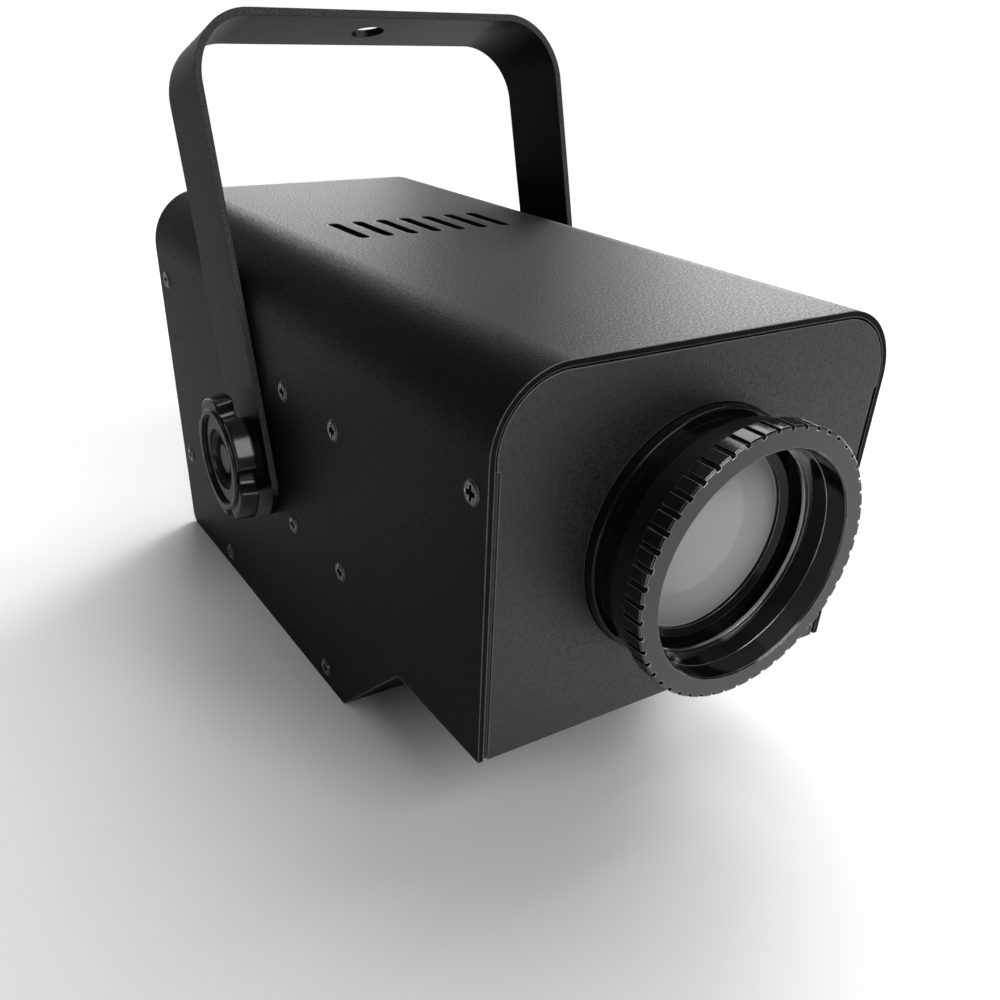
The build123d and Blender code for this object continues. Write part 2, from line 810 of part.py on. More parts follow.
def optics_bracket():
    front = back(plate_front_back)
    plate = block((-inner_half, inner_half), (front, front + sheet), (bracket_bottom, bracket_top))
    flange = block((-inner_half, sheet - inner_half), (back(bracket_flange_back), front + sheet / 2),
                   (bracket_flange_bottom, bracket_flange_top))
    opening = Pos(0, lens_z) * Rectangle(lamp_opening, lamp_opening)
    cuts = [opening]
    cuts += [Pos(x, z) * Circle(pan_shank + slip) for x, z in heatsink_screw_places()]
    cuts += [Pos(x, z) * Circle(pan_shank + slip) for x, z in motor_screw_places()]
    holes = [along_y(cut, front - overrun, front + sheet + overrun) for cut in cuts]
    return plate + both_sides(flange) - group(holes) - screw_holes


def bracket_screws():
    """The screws that hold the heat sink and the motor's ears."""
    seat = back(plate_front_back)
    screw = pan_screw(pan_head, pan_head_height, pan_shank, bracket_screw_length)
    placed = [facing(x, seat, z, frontwards) * screw for x, z in heatsink_screw_places()]
    seat = seat - motor_ear_thickness
    screw = pan_screw(pan_head, pan_head_height, pan_shank, motor_ear_thickness + sheet - slip)
    placed += [facing(x, seat, z, frontwards) * screw for x, z in motor_screw_places()]
    return group(placed)


def wheel_sensor():
    """A forked light gate that straddles the wheel's rim, on a foot from the bracket."""
    rim_front = back(wheel_back - sensor_gap)
    rim_rear = back(wheel_back + wheel_thickness + sensor_gap)
    z_span = (wheel_z - sensor_half, wheel_z + sensor_half)
    outer_x = sensor_x - sensor_half
    inner_x = sensor_overlap - wheel_radius
    foot = block((outer_x, sensor_x), (rim_rear, back(plate_front_back)), z_span)
    rear_arm = block((outer_x, inner_x), (rim_rear, rim_rear + sensor_arm), z_span)
    bridge = block((outer_x, sensor_x), (rim_front - sensor_arm, rim_rear), z_span)
    front_arm = block((outer_x, inner_x), (rim_front - sensor_arm, rim_front), z_span)
    return foot + rear_arm + bridge + front_arm


# Lamp: board, emitter, condenser and heat sink

led_board_half = 15
board = 1.6
emitter_radius = 6
emitter_height = 1
condenser_outer = 13
condenser_inner = 11
condenser_front_back = 101
condenser_lens_back = 103.5
condenser_rim = 2.5
condenser_height = 4
condenser_seat = 1
heatsink_base = 5
fin_count = 12
fin_pitch = 6.25
fin_thickness = 1.25
fin_length = 27


def led_board():
    rear = back(plate_front_back + sheet)
    plate = block((-led_board_half, led_board_half), (rear - board, rear),
                  (lens_z - led_board_half, lens_z + led_board_half))
    return plate + led_emitter()


def led_emitter():
    """A square carrier with a round domed emitter."""
    rear = back(plate_front_back + sheet - board)
    half = emitter_radius + emitter_height
    carrier = block((-half, half), (rear - emitter_height, rear), (lens_z - half, lens_z + half))
    disc = rod_y(emitter_radius, 0, lens_z, rear - 2 * emitter_height, rear - emitter_height)
    return carrier + disc


def condenser_holder():
    """A tube on the lamp board with an inner ledge behind the lens."""
    rear = back(plate_front_back + sheet - board)
    lens_rear = back(condenser_lens_back + condenser_rim)
    ledge = condenser_inner - condenser_seat
    front = back(condenser_front_back)
    points = [(condenser_outer, front), (condenser_outer, rear), (condenser_inner, rear),
              (condenser_inner, lens_rear + condenser_seat), (ledge, lens_rear + condenser_seat),
              (ledge, lens_rear), (condenser_inner, lens_rear), (condenser_inner, front)]
    return turned(0, lens_z, points)


def condenser_lens():
    """A flat-backed lens that gathers the lamp's light, domed towards the wheel."""
    rear = back(condenser_lens_back + condenser_rim)
    rim = back(condenser_lens_back)
    radius = condenser_inner - slip
    points = [(0, rear), (radius, rear), (radius, rim)]
    points += dome(radius - condenser_seat, condenser_height, rim, -1)
    return turned(0, lens_z, points)


def heatsink():
    """A finned block whose fins stand upright under the cooling slots."""
    front = back(plate_front_back + sheet)
    z_span = (lens_z - heatsink_half, lens_z + heatsink_half)
    base = block((-heatsink_half, heatsink_half), (front, front + heatsink_base), z_span)
    fins = []
    for index in range(fin_count):
        x = fin_pitch * (index - (fin_count - 1) / 2)
        fins.append(block((x - fin_thickness / 2, x + fin_thickness / 2),
                          (front + heatsink_base - slip, front + heatsink_base + fin_length), z_span))
    holes = [rod_y(pan_shank + slip, x, z, front - overrun, front + heatsink_base - slip)
             for x, z in heatsink_screw_places()]
    holes += [rod_y(fan_screw_radius + slip, x, z, front + fan_screw_grip, front + 2 * heatsink_base)
              for x, z in fan_screw_places()]
    return base + fins - group(holes)


# Fan

fan_half = 30
fan_depth = 15
fan_bore = 28
fan_screw_pitch = 25
fan_screw_radius = 1.5
fan_screw_grip = 1
fan_corner = 3
fan_hub_radius = 12
fan_strut_count = 3
fan_strut_first_angle = 30
fan_strut_width = 3
fan_strut_depth = 2
fan_plate_depth = 2
blade_count = 7
blade_tip_gap = 1
blade_pitch_angle = 35
blade_thickness = 1.4
blade_chord = 13
fan_pin = 1.5
fan_run_gap = 0.6

fan_front = back(plate_front_back + sheet) + heatsink_base + fin_length
fan_rear = fan_front + fan_depth


def fan_screw_places():
    return [(x, lens_z + z) for x in (-fan_screw_pitch, fan_screw_pitch)
            for z in (-fan_screw_pitch, fan_screw_pitch)]


def fan_frame():
    """A square frame with a round duct, three struts, a motor plate and a shaft pin at the rear."""
    square = Rectangle(2 * fan_half, 2 * fan_half)
    square = fillet(square.vertices(), fan_corner)
    frame = along_y(Pos(0, lens_z) * (square - Circle(fan_bore)), fan_front, fan_rear)
    holes = [rod_y(fan_screw_radius + 2 * slip, x, z, fan_front - overrun, fan_rear + overrun)
             for x, z in fan_screw_places()]
    plate = rod_y(fan_hub_radius, 0, lens_z, fan_rear - fan_plate_depth, fan_rear)
    strut = block((0, fan_bore + overrun), (fan_rear - fan_strut_depth, fan_rear),
                  (-fan_strut_width / 2, fan_strut_width / 2))
    angles = around(fan_strut_count, fan_strut_first_angle)
    struts = [Pos(0, 0, lens_z) * Rot(0, angle, 0) * strut for angle in angles]
    pin = rod_y(fan_pin, 0, lens_z, fan_front + 2 * fan_run_gap, fan_rear)
    return frame + plate + struts + pin - group(holes)


def fan_rotor():
    """A cup hub on the frame's pin with pitched blades."""
    front = fan_front + fan_run_gap
    rear = fan_rear - fan_plate_depth - fan_run_gap
    hub = rod_y(fan_hub_radius, 0, lens_z, front, rear)
    middle = (front + rear) / 2
    reach = fan_bore - blade_tip_gap
    span = block((-blade_chord / 2, blade_chord / 2), (-blade_thickness / 2, blade_thickness / 2),
                 (fan_hub_radius - overrun, reach))
    blade = Rot(0, 0, blade_pitch_angle) * span
    duct = rod_y(reach, 0, lens_z, front, rear)
    blades = [Pos(0, middle, lens_z) * Rot(0, angle, 0) * blade & duct for angle in around(blade_count)]
    bore = rod_y(fan_pin + slip / 2, 0, lens_z, front + fan_run_gap, rear + overrun)
    return hub + blades - bore


def fan_screws():
    """Long screws through the fan's corners and between the fins into the heat sink's base."""
    length = fan_rear - fan_front + fin_length + heatsink_base - 2 * fan_screw_grip
    screw = pan_screw(pan_head, pan_head_height, fan_screw_radius, length)
    return group([facing(x, fan_rear, z, rearwards) * screw for x, z in fan_screw_places()])


# Power supply on the bottom plate

power_half = 48
power_front_back = 122
power_rear_back = 198
power_post_height = 6
post_radius = 3
post_screw_radius = 1.2
post_inset = 5
post_screw_head = 2.2
post_screw_head_height = 1.2
post_screw_reach = 4
transformer_size = (34, 28, 24)
transformer_place = (-22, 150)
transformer_edge = 3
bobbin_reach = 4
can_edge = 0.8
capacitor_list = ((26, 136, 8, 28), (26, 156, 8, 28), (6, 136, 5, 16), (6, 150, 5, 16))
terminal_size = (26, 9, 11)
terminal_place = (25, 188)
terminal_shares = (-1 / 3, 0, 1 / 3)
coil_place = (-30, 182)
coil_outer = 9
coil_inner = 4.5
coil_height = 8

power_board_z = sheet + power_post_height
power_top = power_board_z + board


def power_post_places():
    return [(x, y) for x in (post_inset - power_half, power_half - post_inset)
            for y in (back(power_front_back + post_inset), back(power_rear_back - post_inset))]


def power_board():
    plate = block((-power_half, power_half), (back(power_front_back), back(power_rear_back)),
                  (power_board_z, power_top))
    holes = [rod_z(post_screw_radius + slip, x, y, power_board_z - overrun, power_top + overrun)
             for x, y in power_post_places()]
    coil = rod_z(coil_outer, coil_place[0], back(coil_place[1]), power_top, power_top + coil_height)
    coil = coil - rod_z(coil_inner, coil_place[0], back(coil_place[1]), power_top + overrun,
                        power_top + coil_height + overrun)
    return plate - group(holes) + coil + terminal_block()


def transformer():
    """A laminated core around a bobbin."""
    width, depth, height = transformer_size
    x = transformer_place[0]
    y = back(transformer_place[1])
    core = block((x - width / 2, x + width / 2),
                 (y - depth / 2 + bobbin_reach, y + depth / 2 - bobbin_reach),
                 (power_top, power_top + height))
    bobbin = block((x - width / 4, x + width / 4), (y - depth / 2, y + depth / 2),
                   (power_top, power_top + height - transformer_edge))
    bobbin = fillet(bobbin.edges().filter_by(Axis.Z), transformer_edge)
    return core + bobbin


def capacitors():
    cans = []
    for x, y, radius, height in capacitor_list:
        can = rod_z(radius, x, back(y), power_top, power_top + height)
        rim = can.edges().group_by(Axis.Z)[-1]
        cans.append(fillet(rim, can_edge))
    return group(cans)


def terminal_block():
    """The mains terminals, with a screw well for each wire."""
    width, depth, height = terminal_size
    x = terminal_place[0]
    y = back(terminal_place[1])
    top = power_top + height
    body = block((x - width / 2, x + width / 2), (y - depth / 2, y + depth / 2), (power_top, top))
    wells = [rod_z(post_screw_head, x + width * share, y, top - height / 2, top + overrun)
             for share in terminal_shares]
    return body - group(wells)


def board_standoffs():
    """Posts under the power board and behind the control board."""
    posts = [rod_z(post_radius, x, y, sheet, power_board_z) for x, y in power_post_places()]
    posts += [rod_y(post_radius, x, z, control_rear, rear_y - sheet) for x, z in control_post_places()]
    bores = [rod_z(post_screw_radius + slip, x, y, 0, power_board_z + overrun)
             for x, y in power_post_places()]
    bores += [rod_y(post_screw_radius + slip, x, z, control_rear - overrun, rear_y)
              for x, z in control_post_places()]
    return group([post - bore for post, bore in zip(posts, bores)])


def board_screws():
    """Screws through the boards and into their posts."""
    screw = pan_screw(post_screw_head, post_screw_head_height, post_screw_radius, board + post_screw_reach)
    placed = [facing(x, y, power_top, upwards) * screw for x, y in power_post_places()]
    placed += [facing(x, control_front, z, frontwards) * screw for x, z in control_post_places()]
    return group(placed)


# Control board, display and menu buttons behind the rear panel

control_half_width = 36
control_bottom = 45
control_top = 86
control_depth = 9.5
control_inset = 4
window_proud = 0.3
switch_half = 3
switch_height = 3.6
button_gap = 0.8
button_flange_radius = 4
button_flange_thickness = 1.2
button_flange_back_gap = 0.4
button_proud = 1.4
button_travel = 0.6
chip_list = ((-20, 56, 7, 7), (20, 74, 5, 9), (22, 56, 4, 4))
chip_height = 1.5

control_rear = rear_y - sheet - control_depth
control_front = control_rear - board


def control_post_places():
    return [(x, z) for x in (control_inset - control_half_width, control_half_width - control_inset)
            for z in (control_bottom + control_inset, control_top - control_inset)]


def control_board():
    """The board, its four key switches and its chips."""
    plate = block((-control_half_width, control_half_width), (control_front, control_rear),
                  (control_bottom, control_top))
    holes = [rod_y(post_screw_radius + slip, x, z, control_front - overrun, control_rear + overrun)
             for x, z in control_post_places()]
    switches = [block((x - switch_half, x + switch_half), (control_rear, control_rear + switch_height),
                      (button_z - switch_half, button_z + switch_half)) for x in button_places]
    chips = [block((x - wide, x + wide), (control_front - chip_height, control_front), (z - tall, z + tall))
             for x, z, wide, tall in chip_list]
    return plate - group(holes) + switches + chips


def display():
    """A numeric display module standing on the board, its window flush in the panel."""
    half_w = display_width / 2
    half_h = display_height / 2
    return block((display_x - half_w, display_x + half_w), (control_rear, rear_y + window_proud),
                 (display_z - half_h, display_z + half_h))


def menu_button(x):
    """A push cap held behind the panel by a flange, just clear of its switch."""
    inner = control_rear + switch_height + button_gap
    outer = rear_y + button_proud
    flange_rear = rear_y - sheet - button_flange_back_gap
    cap = rod_y(button_radius, x, button_z, inner, outer)
    rim = cap.edges().group_by(Axis.Y)[-1]
    cap = fillet(rim, ring_edge)
    return cap + rod_y(button_flange_radius, x, button_z, flange_rear - button_flange_thickness, flange_rear)


# Sockets on the rear panel

socket_flange_half = (13, 15.5)
socket_flange_thickness = 2
socket_corner = 2
socket_barrel = 11.6
socket_bore = 9.4
socket_depth = 22
socket_well = 14
socket_core = 7
pin_ring = 4.2
pin_radius = 1.2
pin_length = 12
pin_root = 3
pin_angles = (150, 30, 270)
latch_half = 4
latch_height = 3
latch_z = 12.5
latch_depth = 8
latch_proud = 1.5
latch_travel = 2
latch_play = 0.2
latch_room = 0.5
latch_wall = 1
latch_case_depth = 9
inlet_bezel_half = (15.5, 17)
inlet_bezel_thickness = 2.5
inlet_depth = 24
plug_well_half = (11.5, 7.5)
plug_well_z = 5.2
plug_well_depth = 16
plug_corner = 4
blade_half = (1, 2)
blade_length = 12
blade_places = ((-7, 3.2), (0, 7.2), (7, 3.2))
drawer_z = -9
drawer_half = (10, 3.2)
drawer_depth = 19
drawer_play = 0.2
drawer_pull = 1.2
drawer_pull_height = 1.6
fuse_radius = 2.5
fuse_length = 15


def latch_case_face():
    """The small case above the output socket's barrel, drawn in (x, z)."""
    half = latch_half + latch_play + latch_wall
    top = latch_z + latch_height / 2 + latch_play + latch_wall
    return Pos(output_x, socket_z + top / 2) * Rectangle(2 * half, top)


def socket_shell(x):
    """The flange and barrel that both data sockets share, hollow from the rear."""
    half_w, half_h = socket_flange_half
    flange = Rectangle(2 * half_w, 2 * half_h)
    flange = fillet(flange.vertices(), socket_corner)
    shell = along_y(Pos(x, socket_z) * flange, rear_y, rear_y + socket_flange_thickness)
    shell = shell + rod_y(socket_barrel, x, socket_z, rear_y - socket_depth, rear_y)
    outer = rear_y + socket_flange_thickness
    shell = shell - rod_y(socket_bore, x, socket_z, outer - socket_well, outer + overrun)
    holes = [rod_y(pan_shank + slip, sx, sz, rear_y - overrun, outer + overrun)
             for sx, sz in socket_screw_places()]
    return shell - group(holes)


def pin_places(x):
    return [polar(pin_ring, angle, x, socket_z) for angle in pin_angles]


def pin_rod(radius, x, z, tip):
    """A contact that stands on the floor of a socket's well."""
    floor_y = rear_y + socket_flange_thickness - socket_well
    return rod_y(radius, x, z, floor_y - pin_root, floor_y + tip)


def data_input():
    shell = socket_shell(input_x)
    holes = [pin_rod(pin_radius + slip, x, z, overrun) for x, z in pin_places(input_x)]
    return shell - group(holes)


def data_output():
    """The output socket: a core with three bores, and a slot for its latch."""
    slot_half = latch_half + latch_play
    outer = rear_y + socket_flange_thickness
    slot = block((output_x - slot_half, output_x + slot_half),
                 (outer - latch_depth - latch_room, outer + overrun),
                 (socket_z + latch_z - latch_height / 2 - latch_play,
                  socket_z + latch_z + latch_height / 2 + latch_play))
    case = along_y(latch_case_face(), rear_y - latch_case_depth, rear_y)
    well = rod_y(socket_bore, output_x, socket_z, outer - socket_well, outer + overrun)
    shell = socket_shell(output_x) + (case - well) - slot
    core = rod_y(socket_core, output_x, socket_z, outer - socket_well - pin_root, outer - latch_proud)
    bores = [pin_rod(pin_radius + slip, x, z, socket_well) for x, z in pin_places(output_x)]
    return shell + core - group(bores)


def socket_latch():
    """The release tab over the output socket, pushed in to free a plug."""
    outer = rear_y + socket_flange_thickness
    return block((output_x - latch_half, output_x + latch_half),
                 (outer - latch_depth + latch_travel, outer + latch_proud),
                 (socket_z + latch_z - latch_height / 2, socket_z + latch_z + latch_height / 2))


def contact_pins():
    """Brass contacts of the input socket and of the mains inlet."""
    pins = [pin_rod(pin_radius, x, z, pin_length) for x, z in pin_places(input_x)]
    pins += [blade(grow=0, tip=blade_length, x=x, z=z) for x, z in blade_places]
    return group(pins)


def blade(grow, tip, x, z):
    """A flat mains contact on the floor of the plug's well."""
    floor_y = rear_y + inlet_bezel_thickness - plug_well_depth
    half_w, half_h = blade_half
    return block((inlet_x + x - half_w - grow, inlet_x + x + half_w + grow),
                 (floor_y - pin_root, floor_y + tip),
                 (socket_z + z - half_h - grow, socket_z + z + half_h + grow))


def mains_inlet():
    """A framed inlet with a well for the plug above a fuse drawer."""
    half_w, half_h = inlet_bezel_half
    bezel = Rectangle(2 * half_w, 2 * half_h)
    bezel = fillet(bezel.vertices(), socket_corner)
    outer = rear_y + inlet_bezel_thickness
    inlet = along_y(Pos(inlet_x, socket_z) * bezel, rear_y, outer)
    inlet = inlet + block((inlet_x - inlet_body_width / 2, inlet_x + inlet_body_width / 2),
                          (rear_y - inlet_depth, rear_y),
                          (socket_z - inlet_body_height / 2, socket_z + inlet_body_height / 2))
    well = Rectangle(2 * plug_well_half[0], 2 * plug_well_half[1])
    well = chamfer(well.vertices().sort_by(Axis.Y)[-2:], plug_corner)
    well = along_y(Pos(inlet_x, socket_z + plug_well_z) * well, outer - plug_well_depth, outer + overrun)
    room = block((inlet_x - drawer_half[0] - drawer_play, inlet_x + drawer_half[0] + drawer_play),
                 (outer - drawer_depth - drawer_play, outer + overrun),
                 (socket_z + drawer_z - drawer_half[1] - drawer_play,
                  socket_z + drawer_z + drawer_half[1] + drawer_play))
    seats = [blade(grow=slip, tip=overrun, x=x, z=z) for x, z in blade_places]
    return inlet - well - room - group(seats)


def fuse_drawer():
    """A drawer with an open tray for the fuse and a ridge to pull it by."""
    outer = rear_y + inlet_bezel_thickness
    z = socket_z + drawer_z
    body = block((inlet_x - drawer_half[0], inlet_x + drawer_half[0]), (outer - drawer_depth, outer),
                 (z - drawer_half[1], z + drawer_half[1]))
    tray = block((inlet_x - fuse_radius - slip, inlet_x + fuse_radius + slip),
                 (outer - drawer_depth + overrun, outer - drawer_depth + overrun + fuse_length + 2 * slip),
                 (z - fuse_radius - slip, z + drawer_half[1] + overrun))
    pull = block((inlet_x - drawer_half[0] / 2, inlet_x + drawer_half[0] / 2), (outer, outer + drawer_pull),
                 (z - drawer_pull_height / 2, z + drawer_pull_height / 2))
    return body - tray + pull


def fuse():
    """A glass fuse lying in the drawer's tray."""
    start = rear_y + inlet_bezel_thickness - drawer_depth + overrun + slip
    return rod_y(fuse_radius, inlet_x, socket_z + drawer_z, start, start + fuse_length)


def socket_screws():
    screw = pan_screw(pan_head, pan_head_height, pan_shank, side_screw_length)
    seat = rear_y + socket_flange_thickness
    return group([facing(x, seat, z, rearwards) * screw for x, z in socket_screw_places()])


# Wires between the boards, each along places chosen by hand

wire_radius = 0.8
wire_bend = 4
mains_wires = (
    ((30, 70.8, 30), (30, 62, 30), (16.3, 51, 30), (16.3, 51, 15)),
    ((37, 70.8, 30), (37, 64, 30), (25, 51, 30), (25, 51, 15)),
    ((44, 70.8, 30), (44, 65, 30), (33.7, 51, 30), (33.7, 51, 15)),
)
lamp_wires = (
    ((-14.1, -20.9, 80), (-14.1, -27, 80), (-24, -27, 70), (-24, -27, 20), (-20, -10.5, 20),
     (-20, -10.5, 9.3)),
    ((-14.1, -20.9, 87), (-14.1, -27, 87), (-28, -27, 77), (-28, -27, 20), (-26, -10.5, 20),
     (-26, -10.5, 9.3)),
)
motor_wires = (
    ((2, -30, 39.2), (2, -30, 20), (8, -12, 20), (8, -12, 9.3)),
    ((14.5, 20, 53.2), (14.5, 20, 34), (14.5, 31, 24), (14.5, 31, 9.3)),
)
data_wires = (
    ((-38, 72.8, 30), (-38, 64, 30), (-26, 64, 70), (-26, 82.1, 70)),
    ((-6, 72.8, 30), (-6, 64, 30), (0, 64, 70), (0, 82.1, 70)),
)


def wire(points):
    """A round wire along straight runs joined by bends."""
    path = FilletPolyline(*points, radius=wire_bend)
    section = Plane(origin=path @ 0, z_dir=path % 0) * Circle(wire_radius)
    return sweep(section, path)


def wiring():
    """The mains wires, the lamp's pair, the motor's and the fan's leads and the data leads."""
    routes = mains_wires + lamp_wires + motor_wires + data_wires
    return group([wire(route) for route in routes])


nodes["top_shell"] = top_shell()
nodes["front_panel"] = front_panel()
nodes["bottom_plate"] = bottom_plate()
nodes["rear_panel"] = rear_panel()
nodes["side_screws"] = side_screws()
nodes["front_screws"] = front_screws()
nodes["panel_screws"] = group([seam_screws(), bracket_screws(), socket_screws()])
nodes["yoke"] = yoke()
nodes["yoke_washers"] = yoke_washers()
nodes["pivot_nuts"] = pivot_nuts()
nodes["knob_stud_left"] = knob_stud()
nodes["knob_stud_right"] = mirror(knob_stud(), Plane.YZ)
nodes["knob_left"] = knob()
nodes["knob_right"] = mirror(knob(), Plane.YZ)
nodes["lens_collar"] = lens_collar()
nodes["collar_nuts"] = collar_nuts()
nodes["lens_tube"] = lens_tube()
nodes["focus_ring"] = focus_ring()
nodes["focus_set_screw"] = focus_set_screw()
nodes["lens_retaining_ring"] = lens_retaining_ring()
nodes["lens_snap_ring"] = lens_snap_ring()
nodes["front_lens"] = front_lens()
nodes["optics_bracket"] = optics_bracket()
nodes["colour_wheel"] = colour_wheel()
for number, name in enumerate(filter_names, start=1):
    nodes["filter_" + name] = colour_filter(number)
nodes["wheel_hub"] = wheel_hub()
nodes["wheel_shaft"] = wheel_shaft()
nodes["wheel_motor"] = wheel_motor()
nodes["wheel_sensor"] = wheel_sensor()
nodes["led_board"] = led_board()
nodes["condenser_holder"] = condenser_holder()
nodes["condenser_lens"] = condenser_lens()
nodes["heatsink"] = heatsink()
nodes["fan_frame"] = fan_frame()
nodes["fan_rotor"] = fan_rotor()
nodes["fan_screws"] = fan_screws()
nodes["power_board"] = power_board()
nodes["transformer"] = transformer()
nodes["capacitors"] = capacitors()
nodes["board_standoffs"] = board_standoffs()
nodes["board_screws"] = board_screws()
nodes["control_board"] = control_board()
nodes["display"] = display()
for number, x in enumerate(button_places, start=1):
    nodes["menu_button_" + str(number)] = menu_button(x)
nodes["data_input"] = data_input()
nodes["data_output"] = data_output()
nodes["socket_latch"] = socket_latch()
nodes["contact_pins"] = contact_pins()
nodes["mains_inlet"] = mains_inlet()
nodes["fuse_drawer"] = fuse_drawer()
nodes["fuse"] = fuse()
nodes["wiring"] = wiring()

os.makedirs("parts", exist_ok=True)
for name, shape in nodes.items():
    export_step(shape, "parts/" + name + ".step")
    print(name, len(shape.solids()), "solids")
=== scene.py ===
# %% [markdown]
# # A small stage light with a colour wheel
# The light is a folded steel box in black powder coat. A lens barrel stands out of its front, a bent
# strap carries it, and a lobed knob clamps the strap on each side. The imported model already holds
# every piece at its real size, so this lesson gives each piece the finish that it has on the bench,
# adds the few printed and lit details that have no thickness worth a solid, and sets up the picture.

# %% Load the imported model
import math
import bmesh
import bpy
from mathutils import Matrix, Vector


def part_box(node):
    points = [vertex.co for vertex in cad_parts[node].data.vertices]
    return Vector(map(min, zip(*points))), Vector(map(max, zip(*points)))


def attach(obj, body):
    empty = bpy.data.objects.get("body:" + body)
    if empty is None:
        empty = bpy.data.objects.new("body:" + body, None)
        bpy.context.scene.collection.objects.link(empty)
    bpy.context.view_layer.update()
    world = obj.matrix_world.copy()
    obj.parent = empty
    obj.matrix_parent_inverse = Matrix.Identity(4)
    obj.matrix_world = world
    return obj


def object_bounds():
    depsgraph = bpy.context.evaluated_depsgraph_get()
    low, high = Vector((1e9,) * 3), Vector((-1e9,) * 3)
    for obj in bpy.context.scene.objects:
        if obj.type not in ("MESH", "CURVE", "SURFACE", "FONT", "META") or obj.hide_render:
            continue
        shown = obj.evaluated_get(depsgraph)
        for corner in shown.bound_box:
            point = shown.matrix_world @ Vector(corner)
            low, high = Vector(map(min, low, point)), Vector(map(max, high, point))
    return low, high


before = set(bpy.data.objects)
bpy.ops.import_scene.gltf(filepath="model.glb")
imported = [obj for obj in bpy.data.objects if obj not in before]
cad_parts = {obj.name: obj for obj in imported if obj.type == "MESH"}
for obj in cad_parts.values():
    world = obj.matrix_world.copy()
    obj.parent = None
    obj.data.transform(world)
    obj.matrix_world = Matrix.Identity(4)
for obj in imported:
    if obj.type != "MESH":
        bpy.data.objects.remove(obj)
cad_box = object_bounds()
mm = 0.001

# %% [markdown]
# ## Where things are
# A finish often follows the piece that it is on: turning marks run round the lens axis, and a printed
# sign sits beside its button. Each node tells its box, so these places are measured from the model
# instead of typed.

# %% Places measured from the model


def middle_of(node):
    """The centre of a node's box."""
    low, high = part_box(node)
    return (Vector(low) + Vector(high)) / 2


lens_axis = middle_of("front_lens")
print("lens axis height in mm", round(lens_axis.z / mm, 2))

# %% [markdown]
# ## The camera
# The photograph was taken from very near, about a hand's length in front of the left front corner, so
# the lens barrel looms large and the far end shrinks. Only a camera at the same place with the same
# short lens gives those proportions. The picture is a crop, which the two shifts give.

# %% Camera at the photograph's place
picture_side = 1000
focal_pixels = 956
axis_column = 470
axis_row = 620
camera_place = Vector((-0.158, -0.2859, 0.1895))
camera_turn = math.radians(32.4)
camera_dip = math.radians(32.4)
camera_roll = math.radians(1.7)

level_right = Vector((math.cos(camera_turn), -math.sin(camera_turn), 0))
level_ahead = Vector((math.sin(camera_turn), math.cos(camera_turn), 0))
ahead = level_ahead * math.cos(camera_dip) - Vector((0, 0, math.sin(camera_dip)))
level_up = level_right.cross(ahead)
right = level_right * math.cos(camera_roll) + level_up * math.sin(camera_roll)
up = level_up * math.cos(camera_roll) - level_right * math.sin(camera_roll)

camera_data = bpy.data.cameras.new("camera")
camera_data.sensor_width = 36
camera_data.lens = focal_pixels / picture_side * camera_data.sensor_width
camera_data.shift_x = 0.5 - axis_column / picture_side
camera_data.shift_y = axis_row / picture_side - 0.5
camera_data.clip_start = 10 * mm
camera = bpy.data.objects.new("camera", camera_data)
turn = Matrix((right, up, -ahead)).transposed().to_4x4()
camera.matrix_world = Matrix.Translation(camera_place) @ turn
bpy.context.scene.collection.objects.link(camera)
bpy.context.scene.camera = camera
print("lens in mm", round(camera_data.lens, 1))

# %% [markdown]
# ## Colours and nodes
# Colours are written as the hex values that a paint chart gives, which are sRGB, while Blender counts
# in linear light, so one function turns them. Every material below is a small tree of nodes, and one
# function adds a node together with its settings and whatever feeds it.

# %% Helpers for every material
skin_relief = 0.01 * mm
grain_relief = 0.03 * mm
fibre_relief = 0.05 * mm


def linear(code):
    """The linear colour of an sRGB hex value such as #1a1a1b."""
    channels = [int(code[place:place + 2], 16) / 255 for place in (1, 3, 5)]
    turned = [c / 12.92 if c <= 0.04045 else ((c + 0.055) / 1.055) ** 2.4 for c in channels]
    return (*turned, 1)


def add_node(tree, kind, settings=None, inputs=None):
    """Adds a node, sets its properties, and fills or links its inputs."""
    node = tree.nodes.new("ShaderNode" + kind)
    for name, value in (settings or {}).items():
        setattr(node, name, value)
    for name, value in (inputs or {}).items():
        if isinstance(value, bpy.types.NodeSocket):
            tree.links.new(value, node.inputs[name])
        else:
            node.inputs[name].default_value = value
    return node


def noise(tree, place, size, detail=2):
    """Soft random spots of about the given size."""
    return add_node(tree, "TexNoise", None, {"Vector": place, "Scale": 1 / size,
                                             "Detail": detail}).outputs["Fac"]


def spread(tree, value, low, high):
    """A value from 0 to 1, spread over another range."""
    return add_node(tree, "MapRange", None, {"Value": value, "To Min": low,
                                             "To Max": high}).outputs["Result"]


def stretch(tree, value, start, end, low=0, high=1):
    """The part of a value from start to end, spread over another range."""
    return add_node(tree, "MapRange", None, {"Value": value, "From Min": start, "From Max": end,
                                             "To Min": low, "To Max": high}).outputs["Result"]


def blend(tree, share, first_code, second_code):
    """A colour between two hex colours."""
    return add_node(tree, "Mix", {"data_type": "RGBA"}, {0: share, 6: linear(first_code),
                                                         7: linear(second_code)}).outputs[2]


def calculate(tree, operation, first, second):
    """One step of arithmetic."""
    return add_node(tree, "Math", {"operation": operation}, {0: first, 1: second}).outputs["Value"]


def relief(tree, height, strength, depth, base=None):
    """A normal that follows fine relief, over a base normal if there is one."""
    inputs = {"Strength": strength, "Distance": depth, "Height": height}
    if base is not None:
        inputs["Normal"] = base
    return add_node(tree, "Bump", None, inputs).outputs["Normal"]


